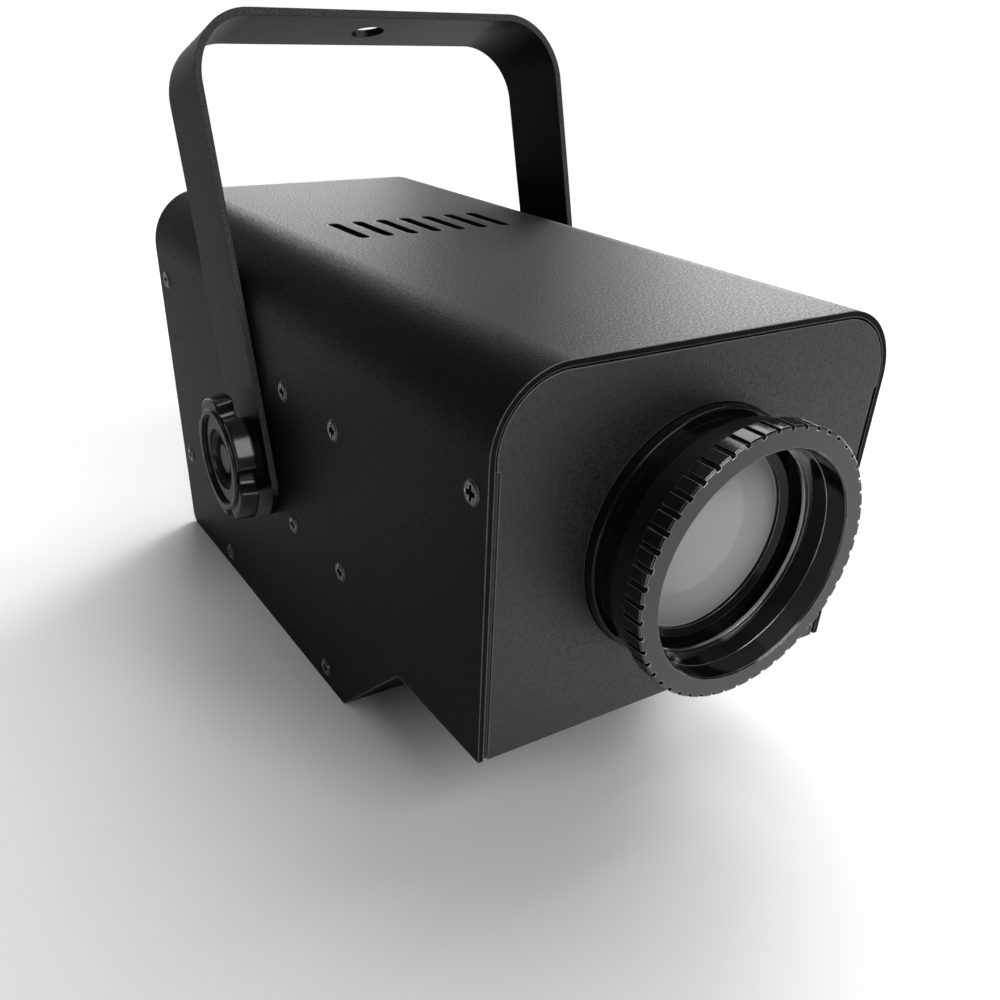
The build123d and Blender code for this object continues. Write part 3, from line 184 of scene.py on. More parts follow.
def start_material(name):
    """An empty material, its node tree and the coordinates that ride with the piece, in metres."""
    material = bpy.data.materials.new(name)
    material.use_nodes = True
    tree = material.node_tree
    tree.nodes.clear()
    place = add_node(tree, "TexCoord").outputs["Object"]
    return material, tree, place


def finish_material(tree, inputs):
    """The shader at the end of a tree, with its named sockets filled."""
    shader = add_node(tree, "BsdfPrincipled", None, inputs)
    add_node(tree, "OutputMaterial", None, {"Surface": shader.outputs["BSDF"]})
    return shader


def dress(material, *nodes):
    """Puts a material on every slot of the named pieces of the model."""
    for name in nodes:
        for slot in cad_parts[name].material_slots:
            slot.material = material
    print(material.name, "on", len(nodes), "pieces")


# %% [markdown]
# ## Worn and rounded edges
# No real edge is perfectly sharp: a bend has a radius, a cut edge is broken with a file, and paint is
# thin there and polishes first. The Bevel node reads how the surface turns within a given radius. Fed
# to the shader it rounds the light on an edge, and compared with the true normal it marks the edge.

# %% Helpers for edges


def rounded(tree, radius):
    """A normal that turns softly over every edge."""
    return add_node(tree, "Bevel", {"samples": 4}, {"Radius": radius}).outputs["Normal"]


def edge_mask(tree, place, radius, patch):
    """White along edges and black elsewhere, broken up in patches of a given size."""
    soft = rounded(tree, radius)
    true = add_node(tree, "NewGeometry").outputs["Normal"]
    same = add_node(tree, "VectorMath", {"operation": "DOT_PRODUCT"}, {0: soft, 1: true}).outputs["Value"]
    wear = noise(tree, place, patch, 4)
    uneven = stretch(tree, wear, 0.3, 0.7, 0.9, 0.99)
    return stretch(tree, same, uneven, 0.8)


# %% [markdown]
# ## The studio
# The light stands in a plain studio: a pale floor that sweeps up into a wall behind, both in the same
# matt paper, so there is no line where they meet. The paper takes the light's own soft shadow, and far
# from the light it is shown as even white, as a cut-out photograph has it. Only rays from the camera, or
# by way of a mirror or glass, see that white, so it adds no light. Black paint is seen mostly by what it
# mirrors: the top mirrors the pale wall at a glancing angle and is grey, and the sides are nearly black.

# %% Paper sweep
paper_turn = camera_turn
paper_ahead = 2.4
paper_behind = 3.0
paper_half = 3.2
paper_bend = 0.6
paper_wall = 0.9
bend_steps = 12
paper_fibre = 5 * mm
shadow_reach = 0.45
white_reach = 1.1


def paper_profile():
    """The sweep seen from the side, as (distance ahead, height): floor, quarter turn and wall."""
    steps = [math.radians(90) * index / bend_steps for index in range(bend_steps + 1)]
    turn_points = [(paper_ahead + paper_bend * math.sin(step), paper_bend * (1 - math.cos(step)))
                   for step in steps]
    return [(-paper_behind, 0)] + turn_points + [(paper_ahead + paper_bend, paper_bend + paper_wall)]


def matt_paper():
    material, tree, place = start_material("matt_paper")
    fibre = noise(tree, place, paper_fibre)
    normal = relief(tree, fibre, 0.1, fibre_relief)
    paper = add_node(tree, "BsdfPrincipled", None, {"Base Color": linear("#f9f9f8"), "Roughness": 0.95,
                                                    "Specular IOR Level": 0.1, "Normal": normal})
    distance = add_node(tree, "VectorMath", {"operation": "LENGTH"}, {0: place}).outputs["Value"]
    far = add_node(tree, "MapRange", {"interpolation_type": "SMOOTHSTEP"},
                   {"Value": distance, "From Min": shadow_reach, "From Max": white_reach}).outputs["Result"]
    path = add_node(tree, "LightPath").outputs
    mirrored = calculate(tree, "ADD", path["Is Glossy Ray"], path["Is Transmission Ray"])
    seen = calculate(tree, "ADD", path["Is Camera Ray"], mirrored)
    amount = calculate(tree, "MULTIPLY", seen, far)
    white = add_node(tree, "Emission", None, {"Color": linear("#ffffff"),
                                              "Strength": 1}).outputs["Emission"]
    mixed = add_node(tree, "MixShader", None, {0: amount, 1: paper.outputs["BSDF"],
                                               2: white}).outputs["Shader"]
    add_node(tree, "OutputMaterial", None, {"Surface": mixed})
    return material


def paper_sweep():
    """A wide sheet that lies under the light and rises behind it, square to the camera."""
    along = Vector((math.sin(paper_turn), math.cos(paper_turn), 0))
    across = Vector((math.cos(paper_turn), -math.sin(paper_turn), 0))
    rows = [along * distance + Vector((0, 0, height)) for distance, height in paper_profile()]
    points = [row + across * side for row in rows for side in (-paper_half, paper_half)]
    faces = [(2 * row, 2 * row + 1, 2 * row + 3, 2 * row + 2) for row in range(len(rows) - 1)]
    mesh = bpy.data.meshes.new("paper_sweep")
    mesh.from_pydata(points, [], faces)
    mesh.shade_smooth()
    mesh.materials.append(matt_paper())
    sweep = bpy.data.objects.new("paper_sweep", mesh)
    bpy.context.scene.collection.objects.link(sweep)


paper_sweep()

# %% [markdown]
# A large box high on the right lights the paper evenly and throws a soft shadow to the left. A small
# box to the right and behind is mirrored in the front corner of the top, and a low one behind in the
# far end of the top. A box in front, above the lens axis, brings out the front panel and the barrel.
# The room itself is a dim even grey.

# %% Room and lamps


def dim_room(grey):
    """An even grey on every side."""
    world = bpy.data.worlds.new("room")
    world.use_nodes = True
    tree = world.node_tree
    tree.nodes.clear()
    light = add_node(tree, "Background", None, {"Color": linear("#ffffff"), "Strength": grey})
    add_node(tree, "OutputWorld", None, {"Surface": light.outputs["Background"]})
    bpy.context.scene.world = world


def soft_box(name, place, side, watts):
    """A square lamp at a place in metres, of a side in metres, that looks at the middle of the light."""
    data = bpy.data.lights.new(name, "AREA")
    data.shape = "SQUARE"
    data.size = side
    data.energy = watts
    lamp = bpy.data.objects.new(name, data)
    target = (cad_box[0] + cad_box[1]) / 2
    lamp.location = place
    lamp.rotation_mode = "QUATERNION"
    lamp.rotation_quaternion = (target - Vector(place)).to_track_quat("-Z", "Y")
    bpy.context.scene.collection.objects.link(lamp)


room_grey = 0.16
dim_room(room_grey)
soft_box("overhead_box", (1.4, 0.7, 2.4), 2.4, 56)
soft_box("right_box", (1.12, 0.78, 0.6), 0.45, 13)
soft_box("rear_box", (0.5, 1.4, 0.3), 0.4, 6)
soft_box("front_box", (0.1, -1.4, 1.1), 1.0, 14)
bpy.context.scene.view_settings.view_transform = "Standard"
print("lamps", [lamp.name for lamp in bpy.data.lights])

# %% [markdown]
# ## Powder-coated steel
# The housing and the strap are 1.5 and 2 mm steel sheet, folded and then powder coated. The powder
# melts into a hard skin with two scales of relief: a fine grain like very fine sand, and a slow
# ripple called orange peel. Together they give the eye a satin black that is dark face on and grey at a
# glancing angle. The grain is drawn at 0.6 mm, coarser than the real 0.1 mm, so that it shows.

# %% Powder coat
powder_grain = 0.6 * mm
powder_peel = 3 * mm
powder_cloud = 60 * mm
powder_relief = 0.14 * mm
coat_patch = 4 * mm
# The pale edge colour is partly worn, thinner coat and partly a painted highlight: the bright line of light
# along the folded edges is painted in this colour.
thin_coat_and_edge_highlight = "#8e8e8b"
pale_edge_and_highlight_amount = 0.9
coat_mirror = 0.04
panel_mirror = 0.65
rim_mirror = 0.8
strap_mirror = 0.025
peel_relief = 0.03 * mm
sheet_edge = 0.5 * mm


def powder_relief_normal(tree, place):
    """Fine grain over orange peel, over softly rounded edges."""
    peel = noise(tree, place, powder_peel)
    grain = noise(tree, place, powder_grain, 3)
    slow = relief(tree, peel, 0.5, peel_relief, rounded(tree, sheet_edge))
    return relief(tree, grain, 0.7, powder_relief, slow)


def powder_coat(name, mirror):
    """Black powder coat, paler along its edges, partly as worn coat and partly as a painted highlight, and
    glossier there.
    """
    material, tree, place = start_material(name)
    cloud = noise(tree, place, powder_cloud, 3)
    paint = blend(tree, cloud, "#0f0f10", "#161617")
    wear = edge_mask(tree, place, sheet_edge, coat_patch)
    # Along the edges the colour turns pale, as worn coat and a painted highlight together.
    pale_edge_and_highlight = calculate(tree, "MULTIPLY", wear, pale_edge_and_highlight_amount)
    colour = add_node(tree, "Mix", {"data_type": "RGBA"}, {0: pale_edge_and_highlight, 6: paint,
                                                           7: linear(thin_coat_and_edge_highlight)}).outputs[2]
    grain = noise(tree, place, powder_grain)
    gloss = stretch(tree, grain, 0.35, 0.65, 0.4, 0.6)
    shine = spread(tree, wear, mirror, rim_mirror)
    finish_material(tree, {"Base Color": colour, "Roughness": gloss, "Specular IOR Level": shine,
                           "Normal": powder_relief_normal(tree, place)})
    return material


dress(powder_coat("powder_coat", coat_mirror), "top_shell", "bottom_plate", "rear_panel")
dress(powder_coat("powder_coat_front", panel_mirror), "front_panel")

# %% [markdown]
# ## The strap's sheared edges
# The strap is sheared from sheet and bent before it is coated, so its long narrow edges are rough. The
# powder hardly holds there and the edge shows as a pale grey line with fine dark specks. Those faces
# look along the strap's own width, so the normal in the piece's own frame picks them out, in any pose.

# %% Strap
strap_lean = math.radians(16)
strap_width_way = Vector((0, math.cos(strap_lean), -math.sin(strap_lean)))
speck = 0.3 * mm


def sheared_edges(tree, place):
    """White on the strap's narrow edges, broken into specks."""
    own = add_node(tree, "TexCoord").outputs["Normal"]
    along = add_node(tree, "VectorMath", {"operation": "DOT_PRODUCT"},
                     {0: own, 1: strap_width_way}).outputs["Value"]
    size = add_node(tree, "Math", {"operation": "ABSOLUTE"}, {0: along}).outputs["Value"]
    narrow = stretch(tree, size, 0.9, 0.98)
    spots = noise(tree, place, speck, 2)
    broken = stretch(tree, spots, 0.25, 0.6)
    return calculate(tree, "MULTIPLY", narrow, broken)


def strap_coat():
    material, tree, place = start_material("strap_powder_coat")
    cloud = noise(tree, place, powder_cloud)
    edges = sheared_edges(tree, place)
    colour = blend(tree, edges, "#0f0f10", "#50504d")
    gloss = spread(tree, cloud, 0.36, 0.44)
    finish_material(tree, {"Base Color": colour, "Roughness": gloss, "Specular IOR Level": strap_mirror,
                           "Normal": powder_relief_normal(tree, place)})
    return material


dress(strap_coat(), "yoke")

# %% [markdown]
# ## Blackened screws
# The countersunk screws are steel in black oxide, which is a thin chemical skin. It rubs off where the
# driver and the paint touch it, so the rim and the cross show bare grey steel.

# %% Blackened screws
rub_patch = 1.5 * mm
rub_width = 0.35 * mm


def black_oxide():
    material, tree, place = start_material("black_oxide_steel")
    rub = edge_mask(tree, place, rub_width, rub_patch)
    colour = blend(tree, rub, "#454544", "#e2e2de")
    cloud = noise(tree, place, rub_patch)
    gloss = spread(tree, cloud, 0.28, 0.5)
    finish_material(tree, {"Base Color": colour, "Metallic": 0.8, "Roughness": gloss,
                           "Normal": rounded(tree, rub_width)})
    return material


dress(black_oxide(), "side_screws", "front_screws")

# %% [markdown]
# ## Zinc-plated hardware
# Inside, and on the back, the screws, studs, nuts and shaft are zinc plated. Fresh zinc is a cool grey
# mirror with a faint cloudy crystal pattern, so the roughness wanders while the colour hardly does.

# %% Zinc plate
zinc_crystal = 2.5 * mm
machined_edge = 0.2 * mm


def zinc_plate(name, dark_code, pale_code):
    material, tree, place = start_material(name)
    crystal = add_node(tree, "TexVoronoi", None, {"Vector": place,
                                                  "Scale": 1 / zinc_crystal}).outputs["Color"]
    cloud = noise(tree, place, zinc_crystal, 3)
    tone = add_node(tree, "SeparateColor", None, {"Color": crystal}).outputs["Red"]
    colour = blend(tree, tone, dark_code, pale_code)
    gloss = spread(tree, cloud, 0.22, 0.42)
    finish_material(tree, {"Base Color": colour, "Metallic": 1, "Roughness": gloss,
                           "Normal": rounded(tree, machined_edge)})
    return material


dress(zinc_plate("zinc_plate", "#a3a6a8", "#bcbfc0"), "panel_screws", "pivot_nuts", "knob_stud_left",
      "knob_stud_right", "collar_nuts", "focus_set_screw", "fan_screws", "board_screws", "wheel_shaft")
dress(zinc_plate("zinc_sheet", "#8f9294", "#b4b7b8"), "optics_bracket", "colour_wheel", "socket_latch")

# %% [markdown]
# ## The lobed knobs
# Each knob is moulded ABS, black all through. Its lobes are polished in the mould, so they are shinier
# than the paint round them and have sharp white lines of light, while the face is dull. The knob turns
# about its own X, so the normal's X tells face from lobe. Handling leaves a fine haze and small
# scratches, which break the gloss without changing the colour.

# %% Knobs
knob_edge = 0.8 * mm
handling_haze = 6 * mm
scratch_width = 0.25 * mm
lobe_mirror = 0.5
face_mirror = 0.02


def glossy_abs():
    material, tree, place = start_material("glossy_moulded_abs")
    haze = noise(tree, place, handling_haze, 5)
    gloss = stretch(tree, haze, 0.3, 0.7, 0.1, 0.2)
    tone = blend(tree, haze, "#0b0b0c", "#131314")
    own = add_node(tree, "TexCoord").outputs["Normal"]
    outward = add_node(tree, "SeparateXYZ", None, {"Vector": own}).outputs["X"]
    facing = add_node(tree, "Math", {"operation": "ABSOLUTE"}, {0: outward}).outputs["Value"]
    mirror = stretch(tree, facing, 0.3, 0.9, lobe_mirror, face_mirror)
    scuff = noise(tree, place, scratch_width)
    normal = relief(tree, scuff, 0.15, skin_relief, rounded(tree, knob_edge))
    finish_material(tree, {"Base Color": tone, "Roughness": gloss, "Specular IOR Level": mirror,
                           "Normal": normal})
    return material


dress(glossy_abs(), "knob_left", "knob_right")

# %% [markdown]
# ## Fibre washers
# A thin washer of vulcanised fibre lies between the strap and the box on each side, so that the knob
# can clamp without scoring the paint. Fibre is matt and dark brown, with a faint speckle.

# %% Fibre washers
fibre_speck = 0.4 * mm


def vulcanised_fibre():
    material, tree, place = start_material("vulcanised_fibre")
    speckle = noise(tree, place, fibre_speck, 3)
    colour = blend(tree, speckle, "#171310", "#2a221d")
    normal = relief(tree, speckle, 0.4, fibre_relief)
    finish_material(tree, {"Base Color": colour, "Roughness": 0.85, "IOR": 1.5, "Normal": normal})
    return material


dress(vulcanised_fibre(), "yoke_washers")

# %% [markdown]
# ## Turned and anodised barrel
# The collar, the tube, the focus ring and the threaded retaining ring are turned from aluminium and
# anodised black. The tool leaves fine rings about the lens axis that stretch every highlight across
# them, and the anodising is dark and glossy, thin enough on sharp corners to show bare metal. The rings
# are drawn 0.25 mm apart, coarser than a real feed of 0.1 mm, so that they show.

# %% Black anodised aluminium
tool_feed = 0.25 * mm
turned_edge = 0.3 * mm
corner_patch = 3 * mm
corner_bare = 0.9


def round_lens_axis(tree, place):
    """The distance from the lens axis, and the distance along it."""
    from_axis = add_node(tree, "VectorMath", {"operation": "SUBTRACT"},
                         {0: place, 1: lens_axis}).outputs["Vector"]
    across = add_node(tree, "VectorMath", {"operation": "MULTIPLY"},
                      {0: from_axis, 1: Vector((1, 0, 1))}).outputs["Vector"]
    radius = add_node(tree, "VectorMath", {"operation": "LENGTH"}, {0: across}).outputs["Value"]
    depth = add_node(tree, "SeparateXYZ", None, {"Vector": from_axis}).outputs["Y"]
    return radius, depth


def turning_marks(tree, place):
    """Noise that changes with the distance from the lens axis and along it, but not round it."""
    radius, depth = round_lens_axis(tree, place)
    track = add_node(tree, "CombineXYZ", None, {"X": radius, "Y": depth}).outputs["Vector"]
    return add_node(tree, "TexNoise", {"noise_dimensions": "2D"},
                    {"Vector": track, "Scale": 1 / tool_feed, "Detail": 2}).outputs["Fac"]


def black_anodise(name, mirror, gloss_low, gloss_high):
    material, tree, place = start_material(name)
    rings = turning_marks(tree, place)
    corners = edge_mask(tree, place, turned_edge, corner_patch)
    bare = calculate(tree, "MULTIPLY", corners, corner_bare)
    colour = blend(tree, bare, "#0d0d0e", "#dcdcd8")
    gloss = stretch(tree, rings, 0.3, 0.7, gloss_low, gloss_high)
    normal = relief(tree, rings, 0.1, skin_relief, rounded(tree, turned_edge))
    finish_material(tree, {"Base Color": colour, "Metallic": bare, "Roughness": gloss, "IOR": 1.6,
                           "Specular IOR Level": mirror, "Normal": normal})
    return material


dress(black_anodise("black_anodised_ring", 0.45, 0.08, 0.15), "focus_ring")
dress(black_anodise("black_anodised_tube", 0.15, 0.07, 0.13), "lens_collar", "lens_tube",
      "lens_retaining_ring")

# %% [markdown]
# ## The bright snap ring
# A ring of hard spring steel sits in a groove inside the hood and is the one bright line in the black
# barrel. It is drawn wire rolled flat and tumbled, so it is bright with a satin haze.

# %% Spring steel
steel_haze = 4 * mm


def spring_steel():
    material, tree, place = start_material("bright_spring_steel")
    haze = noise(tree, place, steel_haze, 3)
    colour = blend(tree, haze, "#d2d2d0", "#e9e9e6")
    gloss = spread(tree, haze, 0.14, 0.22)
    finish_material(tree, {"Base Color": colour, "Metallic": 1, "Roughness": gloss,
                           "Normal": rounded(tree, machined_edge)})
    return material


dress(spring_steel(), "lens_snap_ring")

# %% [markdown]
# ## Glass
# The front lens is crown glass, flat behind and domed in front. It looks pale grey partly because its
# ground back face scatters the light that falls in, and partly through a painted glow: the same pale
# diffuse layer covers half of the polished front and rim. The ground face is the one that looks back
# into the tube, so the piece's own normal picks it out. The condenser is the same glass, polished all over.

# %% Lenses
ground_grit = 0.15 * mm
crown_ior = 1.52


def front_glass():
    """Polished in front and on the rim, ground to a pale haze on the flat back, and half covered in front
    and on the rim by the same pale grey as a painted glow.
    """
    material, tree, place = start_material("crown_glass_ground_back_painted_glow")
    own = add_node(tree, "TexCoord").outputs["Normal"]
    inward = add_node(tree, "SeparateXYZ", None, {"Vector": own}).outputs["Y"]
    back = stretch(tree, inward, 0.3, 0.9)
    grit = noise(tree, place, ground_grit)
    gloss = spread(tree, back, 0.02, 0.5)
    normal = relief(tree, grit, 0.02, skin_relief)
    glass = add_node(tree, "BsdfPrincipled", None,
                     {"Base Color": linear("#f4f7f6"), "Roughness": gloss, "IOR": crown_ior,
                      "Transmission Weight": 1, "Normal": normal}).outputs["BSDF"]
    # The pale diffuse layer is partly the real ground back and partly painted light: it also lies half over
    # the polished front and rim, as a painted glow in place of the light that the ground back scatters.
    haze = add_node(tree, "BsdfPrincipled", None,
                    {"Base Color": linear("#c9cbca"), "Roughness": 0.8, "IOR": crown_ior}).outputs["BSDF"]
    amount = spread(tree, back, 0.5, 0.85)
    mixed = add_node(tree, "MixShader", None, {0: amount, 1: glass, 2: haze}).outputs["Shader"]
    add_node(tree, "OutputMaterial", None, {"Surface": mixed})
    return material


def polished_glass():
    material, tree, place = start_material("polished_crown_glass")
    grit = noise(tree, place, handling_haze)
    gloss = spread(tree, grit, 0.01, 0.05)
    finish_material(tree, {"Base Color": linear("#f2f6f5"), "Roughness": gloss, "IOR": crown_ior,
                           "Transmission Weight": 1})
    return material


dress(front_glass(), "front_lens")
dress(polished_glass(), "condenser_lens", "fuse")

# %% [markdown]
# ## Dichroic filters
# The filters are glass discs with a stack of thin films that passes one colour and mirrors its
# opposite. So each is a clear coloured glass with a strong film on top, brighter than plain glass.

# %% Colour filters
filter_colours = {"red": "#ff2a18", "amber": "#ffab1c", "green": "#27c94a", "cyan": "#27c6e6",
                  "blue": "#1c3cf0", "rose": "#f04aa4"}


def dichroic(name, code):
    material, tree, place = start_material("dichroic_" + name)
    cloud = noise(tree, place, handling_haze)
    gloss = spread(tree, cloud, 0.02, 0.08)
    finish_material(tree, {"Base Color": linear(code), "Roughness": gloss, "IOR": crown_ior,
                           "Transmission Weight": 0.8, "Coat Weight": 1, "Coat IOR": 2.0})
    return material


for name, code in filter_colours.items():
    dress(dichroic(name, code), "filter_" + name)

# %% [markdown]
# ## Extruded and turned aluminium
# The heat sink is an extrusion, anodised black because black sheds heat better, so the slots above it
# look empty. The die draws fine straight lines along it, which here run upright, so the noise is
# stretched along Z. The turned hub, holder and standoffs are the same metal, left bare.

# %% Aluminium, bare and black
die_line = 0.6 * mm
die_run = 60 * mm
die_relief = 0.02 * mm


def drawn_aluminium(name, dark_code, pale_code, metallic):
    material, tree, place = start_material(name)
    shares = (1 / die_line, 1 / die_line, 1 / die_run)
    stretched = add_node(tree, "Mapping", None, {"Vector": place, "Scale": shares}).outputs["Vector"]
    lines = noise(tree, stretched, 1, 3)
    colour = blend(tree, lines, dark_code, pale_code)
    gloss = spread(tree, lines, 0.28, 0.45)
    normal = relief(tree, lines, 0.2, die_relief, rounded(tree, machined_edge))
    finish_material(tree, {"Base Color": colour, "Metallic": metallic, "Roughness": gloss,
                           "Normal": normal})
    return material


dress(drawn_aluminium("bare_aluminium", "#b9bcbf", "#d3d5d7", 1), "wheel_hub", "board_standoffs",
      "condenser_holder")
dress(drawn_aluminium("black_anodised_extrusion", "#0c0c0d", "#141416", 0), "heatsink")

# %% [markdown]
# ## Black moulded plastic
# Sockets, fan, sensor and buttons are glass-filled nylon or PBT. The mould is spark eroded, which gives
# a fine even matt grain, dark grey in light and only slightly rough to the eye.

# %% Sockets, fan, buttons and other matt plastic
mould_grain = 0.4 * mm
gloss_spread = 0.06


def matt_plastic(name, dark_code, pale_code, roughness):
    """Plastic whose roughness wanders a little about the given one."""
    material, tree, place = start_material(name)
    grain = noise(tree, place, mould_grain, 2)
    colour = blend(tree, grain, dark_code, pale_code)
    gloss = spread(tree, grain, roughness - gloss_spread, roughness + gloss_spread)
    normal = relief(tree, grain, 0.4, grain_relief, rounded(tree, turned_edge))
    finish_material(tree, {"Base Color": colour, "Roughness": gloss, "IOR": 1.55, "Normal": normal})
    return material


dress(matt_plastic("spark_eroded_nylon", "#18181a", "#212124", 0.5), "wheel_sensor", "fan_frame",
      "fan_rotor", "data_input", "data_output", "mains_inlet", "fuse_drawer")
dress(matt_plastic("button_nylon", "#3b3c3f", "#47484b", 0.42), "menu_button_1", "menu_button_2",
      "menu_button_3", "menu_button_4")

# %% [markdown]
# ## Circuit boards
# The boards are glass-fibre laminate under solder mask. Copper tracks stand a hair proud of the mask
# and look a little paler, and run square to the board's edges, which a Brick texture draws well enough.
# The lamp board is aluminium under white mask with a round yellow phosphor in its middle.

# %% Boards
track_pitch = 2.2 * mm
track_height = 0.05 * mm
phosphor_radius = 5.6 * mm


def solder_mask():
    material, tree, place = start_material("green_solder_mask")
    flat = add_node(tree, "SeparateXYZ", None, {"Vector": place}).outputs
    depth = calculate(tree, "ADD", flat["Y"], flat["Z"])
    plan = add_node(tree, "CombineXYZ", None, {"X": flat["X"], "Y": depth}).outputs["Vector"]
    tracks = add_node(tree, "TexBrick", None, {"Vector": plan, "Scale": 1 / track_pitch,
                                               "Mortar Size": 0.12, "Mortar": linear("#3f9a5e"),
                                               "Color1": linear("#0d5a30"), "Color2": linear("#0f6336")})
    normal = relief(tree, tracks.outputs["Fac"], 0.3, track_height)
    finish_material(tree, {"Base Color": tracks.outputs["Color"], "Roughness": 0.3, "IOR": 1.55,
                           "Normal": normal})
    return material


def lamp_board():
    material, tree, place = start_material("white_mask_and_phosphor")
    radius, depth = round_lens_axis(tree, place)
    inside = calculate(tree, "LESS_THAN", radius, phosphor_radius)
    grain = noise(tree, place, mould_grain)
    colour = blend(tree, inside, "#e9e9e4", "#e6c832")
    normal = relief(tree, grain, 0.2, grain_relief)
    finish_material(tree, {"Base Color": colour, "Roughness": 0.45, "IOR": 1.5, "Normal": normal})
    return material


dress(solder_mask(), "power_board", "control_board")
dress(lamp_board(), "led_board")

# %% [markdown]
# ## Motor, transformer and capacitors
# The motor's can is drawn steel. The transformer is a stack of varnished steel plates, whose edges show
# as fine level lines. The capacitors wear a printed sleeve with one pale stripe that marks the negative
# side.

# %% Wound and canned pieces
plate_thickness = 1.0 * mm
varnish_groove = 0.1 * mm
sleeve_haze = 3 * mm


def laminated_core():
    """Laminated plates, seen as fine level lines with a varnish sheen."""
    material, tree, place = start_material("varnished_laminations")
    height = add_node(tree, "SeparateXYZ", None, {"Vector": place}).outputs["Z"]
    turns = calculate(tree, "DIVIDE", height, plate_thickness)
    wave = add_node(tree, "Math", {"operation": "FRACT"}, {0: turns}).outputs["Value"]
    line = calculate(tree, "LESS_THAN", wave, 0.25)
    colour = blend(tree, line, "#57534c", "#2b2926")
    normal = add_node(tree, "Bump", {"invert": True}, {"Strength": 0.5, "Distance": varnish_groove,
                                                       "Height": line}).outputs["Normal"]
    finish_material(tree, {"Base Color": colour, "Metallic": 0.5, "Roughness": 0.4, "Normal": normal})
    return material


def printed_sleeve():
    """Dark sleeve with a pale stripe on the side that looks back."""
    material, tree, place = start_material("printed_shrink_sleeve")
    side = add_node(tree, "TexCoord").outputs["Normal"]
    rearward = add_node(tree, "SeparateXYZ", None, {"Vector": side}).outputs["Y"]
    stripe = calculate(tree, "GREATER_THAN", rearward, 0.9)
    haze = noise(tree, place, sleeve_haze)
    colour = blend(tree, stripe, "#20242e", "#a9adb5")
    gloss = spread(tree, haze, 0.25, 0.4)
    finish_material(tree, {"Base Color": colour, "Roughness": gloss, "IOR": 1.54})
    return material


dress(zinc_plate("drawn_steel_can", "#6f7172", "#85888a"), "wheel_motor")
dress(laminated_core(), "transformer")
dress(printed_sleeve(), "capacitors")

# %% [markdown]
# ## Contacts, wires and display
# The contacts are brass, warm and bright. The wires are told apart by their sleeves, which here change
# with the side of the box that they run on. The display is a block of smoked acrylic, nearly black
# until a segment behind it is lit.

# %% Contacts, wires and display window
wire_ramp_stops = ((0.0, "#5a3a1c"), (0.2, "#b3241c"), (0.4, "#1b1b1d"), (0.6, "#2353a8"),
                   (0.8, "#3d8f3a"))


def bright_brass():
    material, tree, place = start_material("bright_brass")
    haze = noise(tree, place, zinc_crystal, 3)
    colour = blend(tree, haze, "#c9a24e", "#dcb968")
    gloss = spread(tree, haze, 0.18, 0.32)
    finish_material(tree, {"Base Color": colour, "Metallic": 1, "Roughness": gloss,
                           "Normal": rounded(tree, machined_edge)})
    return material


def wire_sleeves():
    material, tree, place = start_material("pvc_wire_sleeve")
    low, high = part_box("wiring")
    across = add_node(tree, "SeparateXYZ", None, {"Vector": place}).outputs["X"]
    share = stretch(tree, across, low[0], high[0])
    ramp = add_node(tree, "ValToRGB", None, {"Fac": share})
    ramp.color_ramp.interpolation = "CONSTANT"
    for spot, code in wire_ramp_stops[2:]:
        ramp.color_ramp.elements.new(spot)
    for element, (spot, code) in zip(ramp.color_ramp.elements, wire_ramp_stops):
        element.position = spot
        element.color = linear(code)
    haze = noise(tree, place, handling_haze)
    gloss = spread(tree, haze, 0.35, 0.5)
    finish_material(tree, {"Base Color": ramp.outputs["Color"], "Roughness": gloss, "IOR": 1.53})
    return material


def smoked_acrylic():
    material, tree, place = start_material("smoked_acrylic")
    haze = noise(tree, place, handling_haze, 4)
    colour = blend(tree, haze, "#140a0b", "#1c0f10")
    gloss = spread(tree, haze, 0.06, 0.14)
    finish_material(tree, {"Base Color": colour, "Roughness": gloss, "IOR": 1.49,
                           "Normal": rounded(tree, machined_edge)})
    return material


dress(bright_brass(), "contact_pins")
dress(wire_sleeves(), "wiring")
dress(smoked_acrylic(), "display")

# %% [markdown]
# ## Flat details on the back
# Three things on the back have no thickness worth a solid: a black cloth behind the exhaust slots, put
# there as painted shade; the lit bars of the number display; and the screen-printed marks by the menu
# buttons. All are cut as thin plates in mesh code, a hair off the surface that carries them, and travel
# with the housing.

# %% Helpers for thin plates on the back
rear_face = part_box("rear_panel")[1][1]
ink_height = 0.05 * mm


def thin_plates(name, outlines, face_y):
    """One piece made of flat outlines in (x, z), seen from behind, with a hair of thickness."""
    mesh = bpy.data.meshes.new(name)
    shape = bmesh.new()
    for outline in outlines:
        corners = [shape.verts.new((x, face_y + ink_height, z)) for x, z in outline]
        face = shape.faces.new(corners)
        if face.normal.y < 0:
            face.normal_flip()
    bmesh.ops.recalc_face_normals(shape, faces=shape.faces)
    sheet = bmesh.ops.extrude_face_region(shape, geom=list(shape.faces))
    moved = [part for part in sheet["geom"] if isinstance(part, bmesh.types.BMVert)]
    bmesh.ops.translate(shape, verts=moved, vec=(0, -ink_height, 0))
    bmesh.ops.recalc_face_normals(shape, faces=shape.faces)
    shape.to_mesh(mesh)
    shape.free()
    piece = bpy.data.objects.new(name, mesh)
    bpy.context.scene.collection.objects.link(piece)
    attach(piece, "housing")
    print(name, len(outlines), "plates")
    return piece


# %% [markdown]
# A fine black cloth is stretched inside the rear panel as painted shade. It keeps the exhaust slots as
# dark as the shaded inside of the box, and no daylight shows through them. Its threads are drawn 0.8 mm
# apart, coarser than the real 0.3 mm, so that they show.

# %% Shade cloth, painted shade
cloth_thread = 0.8 * mm
thread_relief = 0.1 * mm
cloth_side = 31 * mm
cloth_low = 85.5 * mm
cloth_high = 122.5 * mm
panel_sheet = 1.5 * mm
wave_length_at_scale_one = math.pi / 10


